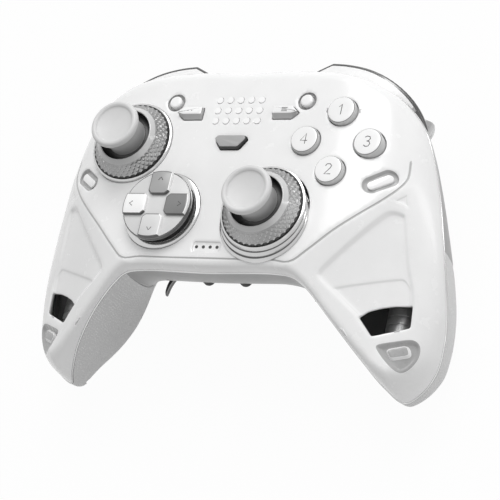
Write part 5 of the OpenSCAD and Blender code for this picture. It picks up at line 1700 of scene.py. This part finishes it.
@dataclass
class SmallButtons:
    """Five-sided, tapered and round buttons in the middle of the face."""

    flag_h: float = 1.7
    tab_h: float = 1.6
    round_r: float = 2.4
    round_h: float = 0.9

    def build(self) -> None:
        """Make the five small buttons."""
        for name, side in (("select", Side.LEFT), ("start", Side.RIGHT)):
            flip = np.array([side.value, 1])
            at = np.array(LAYOUT.flag_at)
            outline = (rounded(flag_outline(0), 0.5, 0.4) + at) * flip
            self._flat(f"{name}_cap", name, outline, (flag_outline(0.9) + at) * flip, self.flag_h,
                       [CAP_WHITE, FOOT], "white", f"{name}_button", LAYOUT.flag_at * flip, 1.5)
            mark = Sketch()
            rows = [[(-1.6, y), (1.2, y)] for y in (-0.8, 0, 0.8)] if side is Side.RIGHT else [
                [(-1.4, 0), (-0.9, 0)], [(0.5, 0), (1.0, 0)]]
            for row in rows:
                stroke(mark, (np.array(row) * 0.8 + at + np.array([0, 0.7])) * flip, 0.24, self.flag_h)
            mark.build(f"{name}_mark", [MARK], name, "dark")
        at = np.array(LAYOUT.middle_at)
        self._flat("middle_cap", "middle", rounded(tab_outline(0), 0.6, 0.4) + at, tab_outline(0.9) + at,
                   self.tab_h,
                   [MID_AND_REFLECTION, DARK], "dark", "middle_button", LAYOUT.middle_at)
        for side in Side:
            r, high = self.round_r, self.round_h
            edge = [(r - 0.8 + 0.8 * math.cos(a), high - 0.8 + 0.8 * math.sin(a))
                    for a in np.radians(np.arange(0, 91, 15))]
            sketch = Sketch()
            sketch.lathe([(0, -8.8), (1.6, -8.8), (1.6, -3.32), (r + 0.9, -3.32), (r + 0.9, -2.32),
                          (r, -2.32), *edge,
                          (0, high + 0.05)], (LAYOUT.round_at[0] * side.value, LAYOUT.round_at[1]), 48,
                          looped=False)
            sketch.build(f"{side.word}_round_cap", [CAP_WHITE], f"{side.word}_round", "white",
                         [f"{side.word}_round_button"], 40)

    def _flat(self, name: str, body: str, outline: Array, flange: Array, high: float,
              finishes: Sequence[Finish],
              slot: str, node: str, at: Sequence[float], slope: float = 0.4) -> None:
        """Make a flat-topped button with darker sides.

        Args:
            name: name of the piece.
            body: body it rides on.
            outline: outline of its top.
            flange: outline of the flange that keeps it in.
            high: height of its top.
            finishes: finish of the top and of the sides.
            slot: material slot.
            node: node that it stands for.
            at: plan place of its stem.
            slope: how far the side towards the player leans in.
        """
        sketch = Sketch()
        rows = [(0.0, -2.3, 0.0), (0.0, 0.3, 0.0), (0.02, high - 0.35, 0.9), (0.06, high - 0.16, 1.0),
                (0.2, high - 0.04, 1.0),
                (0.42, high, 1.0)]
        depth = np.clip((at[1] - outline[:, 1]) / (at[1] - outline[:, 1].min()), 0, 1)
        rings = []
        for shrink, z, share in rows:
            flat = offset(outline, -shrink)
            flat[:, 1] += depth * slope * share
            rings.append(sketch.ring(np.column_stack([flat, np.full(len(outline), z)])))
        for number, (low, up) in enumerate(zip(rings, rings[1:])):
            sketch.bridge(low, up, True, 1 if number < 3 else 0)
        sketch.face(rings[0][::-1], 1)
        sketch.face(rings[-1], 0)
        sketch.prism(flange, -3.32, -2.31, tone=1)
        sketch.rod((at[0], at[1], -8.8), (at[0], at[1], -3.2), 1.8, 1)
        sketch.build(name, finishes, body, slot, [node], 40)


# Shoulders and rear


@dataclass
class Shoulder:
    """Bumper and trigger of one side."""

    side: Side
    out: float = 7.2
    start: float = 0.53
    rise: float = 0.4
    peak: float = 2.0
    fall: float = 0.03
    bend: float = 1.3
    steps: int = 4
    depth: float = 3.0
    low: float = -19.2
    high: float = -9.6
    rib_from: float = 5.0
    rib_to: float = 12.6
    rib_pitch: float = 0.16
    darker: tuple[float, float] = (0.77, 0.81)
    pin: tuple[float, float] = (21.5, 56.4)
    trigger_at: tuple[float, float] = (47.0, 51.0)
    trigger_turn: float = -21.0
    trigger_w: float = 29.0
    axle_z: float = -23.0
    front: tuple[tuple[float, float], ...] = (
        (4.2, -21.1), (6.3, -24.6), (7.8, -31), (8.4, -38), (9.2, -45), (10.8, -50.6), (12.4, -54))
    lip: tuple[tuple[float, float], ...] = ((12.3, -54.7), (11.6, -55.2), (10.4, -54.8))
    inner: tuple[tuple[float, float], ...] = (
        (8.4, -51.4), (6.8, -46), (5.9, -38.4), (5.1, -31.6), (3.9, -27.2), (3.2, -24.4), (2.9, -21.8))
    cheek: tuple[tuple[float, float], ...] = (
        (7.6, -50.6), (3.6, -45), (-0.4, -39), (-3, -33), (-4, -28.6), (-3.2, -25.6), (-0.6, -22.8))
    end: tuple[tuple[float, float], ...] = (
        (-1, -46), (-0.88, -51.6), (-0.6, -55.2), (-0.1, -54.8), (0.16, -51.4), (0.4, -46.8), (0.62, -41.4),
        (0.81, -36), (0.93, -31.6), (1, -27.6))

    def _reach(self, place: float) -> float:
        """How far the bumper stands out of the parting line at a place along it."""
        return self.out * min(self.start + self.rise * place,
                              1 - self.fall * max(0, place - self.peak) ** self.bend)

    def bumper(self) -> None:
        """Bar along the top edge, pale above and polished in front, with fine ribs at its outer end."""
        start, stop = SHAPE.seam_steps, 5 * SHAPE.seam_steps
        index = np.arange(len(SHAPE.loop))
        rings = []
        sketch = Sketch()
        for spot in np.linspace(start, stop, 321):
            place = self.steps * (spot - start) / SHAPE.seam_steps
            point = np.array([np.interp(spot, index, SHAPE.loop[:, k]) for k in range(3)])
            inward = np.array([np.interp(spot, index, SHAPE.inward[:, k]) for k in range(2)])
            ribbed = ramp(self.rib_from, self.rib_from + 1, np.array(place))
            ribbed *= 1 - ramp(self.rib_to - 1, self.rib_to, np.array(place))
            cut = 0.1 * ribbed * (1 + math.cos(2 * math.pi * place / self.rib_pitch))
            reach = self._reach(place)
            top = min(self.high, point[2] - SHAPE.trim_h - 0.7)
            high = top - self.low
            low_nip, top_nip = min(1.2, 0.25 * high), min(0.8, 0.4 * high)
            flat = soft_corners([(-self.depth, self.low), (reach - low_nip - cut, self.low),
                                 (reach - cut, self.low + low_nip), (reach - cut, top - top_nip),
                                 (reach - 0.7 * top_nip - cut, top),
                                 (reach - 0.7 * top_nip - 0.35 - cut, top),
                                 (0.55, top), (-self.depth, top)], min(0.4, 0.15 * high))
            plan = point[:2] - inward * flat[:, :1]
            rings.append(sketch.ring(np.column_stack([plan, flat[:, 1]]) * np.array([self.side.value, 1, 1])))
        corner = len(rings[0]) // 8
        front = range(corner + 2, 6 * corner - 1)
        for number, (low, high) in enumerate(zip(rings, rings[1:])):
            shade = (0, 2, 1)[np.searchsorted(self.darker, number / (len(rings) - 1))]
            for k in range(len(low)):
                j = (k + 1) % len(low)
                # The strip next to the body is painted gap shade, a painted shadow line along the parting.
                tone = 1 if k in front else 3 if k == 7 * corner - 1 else shade
                sketch.face((low[k], low[j], high[j], high[k]), tone)
        sketch.face(rings[0][::-1])
        sketch.face(rings[-1], 1)
        x, y = self.pin[0] * self.side.value, self.pin[1]
        sketch.rod((x, y, self.low), (x, y, self.high), 2.6, edge=0.3)
        sketch.build(f"{self.side.word}_bumper_bar", [WHITE, CHROME_AND_SHADE, FOOT, PAINTED_GAP_SHADE],
                     f"{self.side.word}_shoulder", "bright",
                     [f"{self.side.word}_bumper"], 40)

    def _frame(self, points: Array) -> Array:
        """Points of the trigger's own frame in the drawing."""
        lie = math.radians(self.trigger_turn)
        x = self.trigger_at[0] + points[:, 0] * math.cos(lie) - points[:, 1] * math.sin(lie)
        y = self.trigger_at[1] + points[:, 0] * math.sin(lie) + points[:, 1] * math.cos(lie)
        return np.column_stack([x * self.side.value, y, points[:, 2]])

    def _slice(self, outline: Array, x: float) -> Array:
        """Section of the trigger at a place across it, kept behind its swept front."""
        limit = 13.5 - 60 + math.sqrt(60 ** 2 - (x + 3) ** 2)
        return self._frame(np.column_stack([np.full(len(outline), x), np.minimum(outline[:, 0], limit),
                                            outline[:, 1]]))

    def _lever(self, back: Sequence[Sequence[float]], x: float, slim: float = 0.0) -> Array:
        """Section between the front and a back line, down to the swept lower end.

        Args:
            back: points of the back line, from its lower end up.
            x: place across the trigger.
            slim: how far the section shrinks all round.

        Returns:
            The points of the section.
        """
        front = np.vstack([open_curve(self.front, 5), self.lip[:2]])[::-1]
        rear = np.vstack([self.lip[1:], open_curve(back, 4)])
        shares, ends = np.array(self.end).T
        low = float(np.interp(2 * x / self.trigger_w, shares, ends)) + slim
        down = np.concatenate([np.linspace(self.front[0][1] - slim, low + 0.8, 28), low + 0.8 * np.cos(
            np.radians(np.arange(15, 91, 15)))])
        y_front = np.interp(down, front[:, 1], front[:, 0]) - slim
        y_rear = np.minimum(np.interp(down, rear[:, 1], rear[:, 0]) + slim, y_front)
        round_off = np.sqrt(np.clip((down - low) / 0.8, 0, 1))
        middle, half = (y_front + y_rear) / 2, (y_front - y_rear) / 2
        half = half - np.minimum(half, 0.8) * (1 - round_off)
        outline = np.vstack([np.column_stack([middle + half, down]),
                             np.column_stack([middle - half, down])[::-1]])
        return self._slice(outline, x)

    def trigger(self) -> None:
        """Curved lever with a hollow back, two cheeks and a swept lower end."""
        half = self.trigger_w / 2
        sketch = Sketch()
        sketch.loft([self._lever(self.inner, x) for x in np.linspace(-half + 1, half - 1, 33)])
        for low, high in ((-half, 2 - half), (half - 2, half)):
            places = ((low, 0.25), (low + 0.1, 0.08), (low + 0.3, 0.0), ((low + high) / 2, 0.0),
                      (high - 0.3, 0.0),
                      (high - 0.1, 0.08), (high, 0.25))
            sketch.loft([self._lever(self.cheek, x, slim) for x, slim in places])
        arm = np.array([[0, -21.2], [3.4, -21.4], [4.6, -26.6], [0, -25.1]])
        sketch.loft([self._slice(arm, x) for x in (-3.5, 3.5)])
        ends = self._frame(np.array([[-3.5, 0, self.axle_z], [3.5, 0, self.axle_z]]))
        sketch.rod(ends[0], ends[1], 2.3)
        sketch.build(f"{self.side.word}_trigger_lever", [LEVER], f"{self.side.word}_pull", "bright",
                     [f"{self.side.word}_trigger"], 40)

    def build(self) -> None:
        """Make both."""
        self.bumper()
        self.trigger()


@dataclass
class Paddle:
    """Bright back lever of one side."""

    side: Side
    axis: tuple[float, float] = (6.0, -29.4)
    middle_x: float = 18.5
    half_x: float = 3.0
    tip: tuple[float, float, float] = (30.3, -16.4, -32.0)
    half_w: tuple[float, float] = (2.8, 0.6)
    thick: float = 1.8

    def build(self) -> None:
        """Make the lever with its eye."""
        sections = []
        for share in np.linspace(0, 1, 33):
            x = self.middle_x + (self.tip[0] - self.middle_x) * math.sin(math.pi / 2 * share) ** 2
            y = self.axis[0] + (self.tip[1] - self.axis[0]) * share
            z = self.axis[1] + (self.tip[2] - self.axis[1]) * share ** 2
            close = 1 - 0.4 * ramp(0.95, 1, np.array(share))
            wide = (self.half_w[0] + (self.half_w[1] - self.half_w[0]) * share) * close
            half = self.thick / 2 * close
            flat = soft_corners([(-wide, -half), (wide, -half), (wide, half), (-wide, half)], 0.8)
            spot = np.column_stack([x + flat[:, 0], np.full(len(flat), y), z + flat[:, 1]])
            sections.append(spot * np.array([self.side.value, 1, 1]))
        sketch = Sketch()
        sketch.loft(sections)
        low, high = self.middle_x - self.half_x, self.middle_x + self.half_x
        sketch.rod((low * self.side.value, *self.axis), (high * self.side.value, *self.axis), 2.1, edge=0.3)
        sketch.build(f"{self.side.word}_back_paddle", [CHROME_AND_SHADE], f"{self.side.word}_lever", "bright",
                     [f"{self.side.word}_paddle"], 40)


@dataclass
class SideLamps:
    """White bars in the oval pockets at the sides of the face."""

    long: float = 9.2
    wide: float = 2.9
    top: float = -0.5
    low: float = -1.38

    def build(self) -> None:
        """Make both bars in one piece."""
        sketch = Sketch()
        for side in Side:
            outline = mirrored(LAYOUT.stadium(self.long, self.wide), side)
            rows = [(0.0, self.low), (0.0, self.top - 0.3), (0.1, self.top - 0.1), (0.35, self.top)]
            rings = []
            for shrink, lift in rows:
                flat = offset(outline, -shrink)
                rings.append(np.column_stack([flat, SHAPE.face_z(flat) + lift]))
            sketch.loft(rings)
        sketch.build("side_lamp_bars", [LENS], HOUSING, "clear", ["side_lenses"], 40)


@dataclass(frozen=True)
class CarriedNodes:
    """Finishes of the solids that are kept as they are."""

    finishes: tuple[tuple[str, Finish], ...] = (
        ("left_window", SMOKE), ("right_window", SMOKE), ("light_guide", LENS), ("indicator_strip", DARK),
        ("main_board", BOARD), ("button_board", BOARD), ("button_membrane", POCKET_GREY_AND_SHADE), ("battery", CELL),
        ("usb_port", BRIGHT), ("housing_screws", STEEL), ("dock_pads", RUBBER), ("left_stick_module", DARK),
        ("right_stick_module", DARK), ("left_trigger_bracket", DARK), ("right_trigger_bracket", DARK),
        ("left_motor", MOTOR), ("right_motor", MOTOR), ("left_stick_rocker", DARK),
        ("right_stick_rocker", DARK),
        ("left_stick_pivot", POCKET_GREY_AND_SHADE), ("right_stick_pivot", POCKET_GREY_AND_SHADE), ("left_stick_lever", DARK),
        ("right_stick_lever", DARK), ("dpad_rocker", DARK), ("left_motor_weight", STEEL),
        ("right_motor_weight", STEEL))

    def dress(self) -> None:
        """Give each kept solid its finish."""
        for name, finish in self.finishes:
            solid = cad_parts[name]
            solid.data.materials.clear()
            solid.data.materials.append(finish.make())
            log.info("%s: %s", name, finish.name)


# Studio


@dataclass
class Studio:
    """Pale floor, soft lamps and the camera."""

    lens: float = 142.9
    spot: tuple[float, float, float] = (0.32767, -0.27203, 0.61006)
    right: tuple[float, float, float] = (0.8907, 0.2089, -0.4037)
    down: tuple[float, float, float] = (0.0210, -0.9061, -0.4225)
    ahead: tuple[float, float, float] = (-0.4541, 0.3679, -0.8115)

    def camera(self) -> None:
        """Put the camera where the picture was taken."""
        data = bpy.data.cameras.new("camera")
        data.lens = self.lens
        data.sensor_width = 36
        data.clip_start = 0.01
        made = bpy.data.objects.new("camera", data)
        axes = Matrix([self.right, [-v for v in self.down], [-v for v in self.ahead]]).transposed().to_4x4()
        made.matrix_world = Matrix.Translation(self.spot) @ axes
        bpy.context.scene.collection.objects.link(made)
        bpy.context.scene.camera = made

    def lamp(self, name: str, at: Sequence[float], size: tuple[float, float], power: float,
             aim: Sequence[float] = (0, 0, 0.04)) -> None:
        """Add a soft rectangular lamp.

        Args:
            name: its name.
            at: where it hangs.
            size: its width and height.
            power: its power in watts.
            aim: the point that it looks at.
        """
        data = bpy.data.lights.new(name, "AREA")
        data.shape = "RECTANGLE"
        data.size, data.size_y = size
        data.energy = power
        made = bpy.data.objects.new(name, data)
        made.location = at
        made.rotation_euler = (Vector(aim) - Vector(at)).to_track_quat("-Z", "Y").to_euler()
        bpy.context.scene.collection.objects.link(made)

    def floor(self) -> None:
        """Lay a pale floor that keeps a soft shadow."""
        mesh = bpy.data.meshes.new("floor")
        half = 6.0
        mesh.from_pydata([(-half, -half, 0), (half, -half, 0), (half, half, 0), (-half, half, 0)], [],
                         [(0, 1, 2, 3)])
        graph = Graph("pale_floor")
        path = graph.node("ShaderNodeLightPath", out="Is Camera Ray")
        nodes = path.socket.node.outputs
        seen = path + Signal(graph, nodes["Is Glossy Ray"]) + Signal(graph, nodes["Is Transmission Ray"])
        paper = graph.noise(graph.place(), 40, 4)
        tone = graph.blend(paper, grey(226), grey(232))
        matt = graph.node("ShaderNodeBsdfDiffuse", {}, {"Color": tone})
        white = graph.node("ShaderNodeEmission", {}, {"Color": (1, 1, 1), "Strength": 1.0})
        share = seen.maths("MINIMUM", seen, 1.0) * 0.96
        mesh.materials.append(graph.close(graph.node("ShaderNodeMixShader", {},
                                                     {0: share, 1: matt, 2: white})))
        made = bpy.data.objects.new("floor", mesh)
        bpy.context.scene.collection.objects.link(made)

    def world(self) -> None:
        """White surroundings that light the piece gently."""
        world = bpy.data.worlds.new("surroundings")
        bpy.context.scene.world = world
        world.use_nodes = True
        tree = world.node_tree
        tree.nodes.clear()
        path = tree.nodes.new("ShaderNodeLightPath")
        sky = tree.nodes.new("ShaderNodeBackground")
        sky.inputs["Color"].default_value = (1, 1, 1, 1)
        strength = tree.nodes.new("ShaderNodeMix")
        strength.inputs["A"].default_value = 0.43
        strength.inputs["B"].default_value = 1.0
        rays = [path.outputs[f"Is {kind} Ray"] for kind in ("Camera", "Glossy", "Transmission")]
        seen = rays[0]
        for ray in rays[1:]:
            either = tree.nodes.new("ShaderNodeMath")
            either.operation = "MAXIMUM"
            tree.links.new(seen, either.inputs[0])
            tree.links.new(ray, either.inputs[1])
            seen = either.outputs["Value"]
        tree.links.new(seen, strength.inputs["Factor"])
        tree.links.new(strength.outputs["Result"], sky.inputs["Strength"])
        end = tree.nodes.new("ShaderNodeOutputWorld")
        tree.links.new(sky.outputs["Background"], end.inputs["Surface"])

    def build(self) -> None:
        """Set up the floor, the lamps and the camera."""
        self.floor()
        self.world()
        self.lamp("key", (0.1, 0.85, 1.15), (0.9, 0.9), 13)
        self.lamp("fill", (0.9, -0.5, 0.9), (0.8, 0.8), 1.4)
        self.lamp("side_strip", (0.9, 0.35, 0.35), (0.08, 0.9), 0.9)
        self.camera()
        bpy.context.scene.view_settings.view_transform = "Standard"


def main() -> None:
    """Build the pieces in order, then the studio."""
    logging.basicConfig(level=logging.INFO, format="%(message)s")
    assemblies = [FrontShell(), RearShell(), TrimBand(), DirectionPad(), FaceButtons(), SmallButtons(),
                  SideLamps()]
    for side in Side:
        assemblies += [ThumbStick(side), Shoulder(side), Paddle(side)]
    for assembly in assemblies:
        assembly.build()
    CarriedNodes().dress()
    Studio().build()


if __name__ == "__main__":
    main()
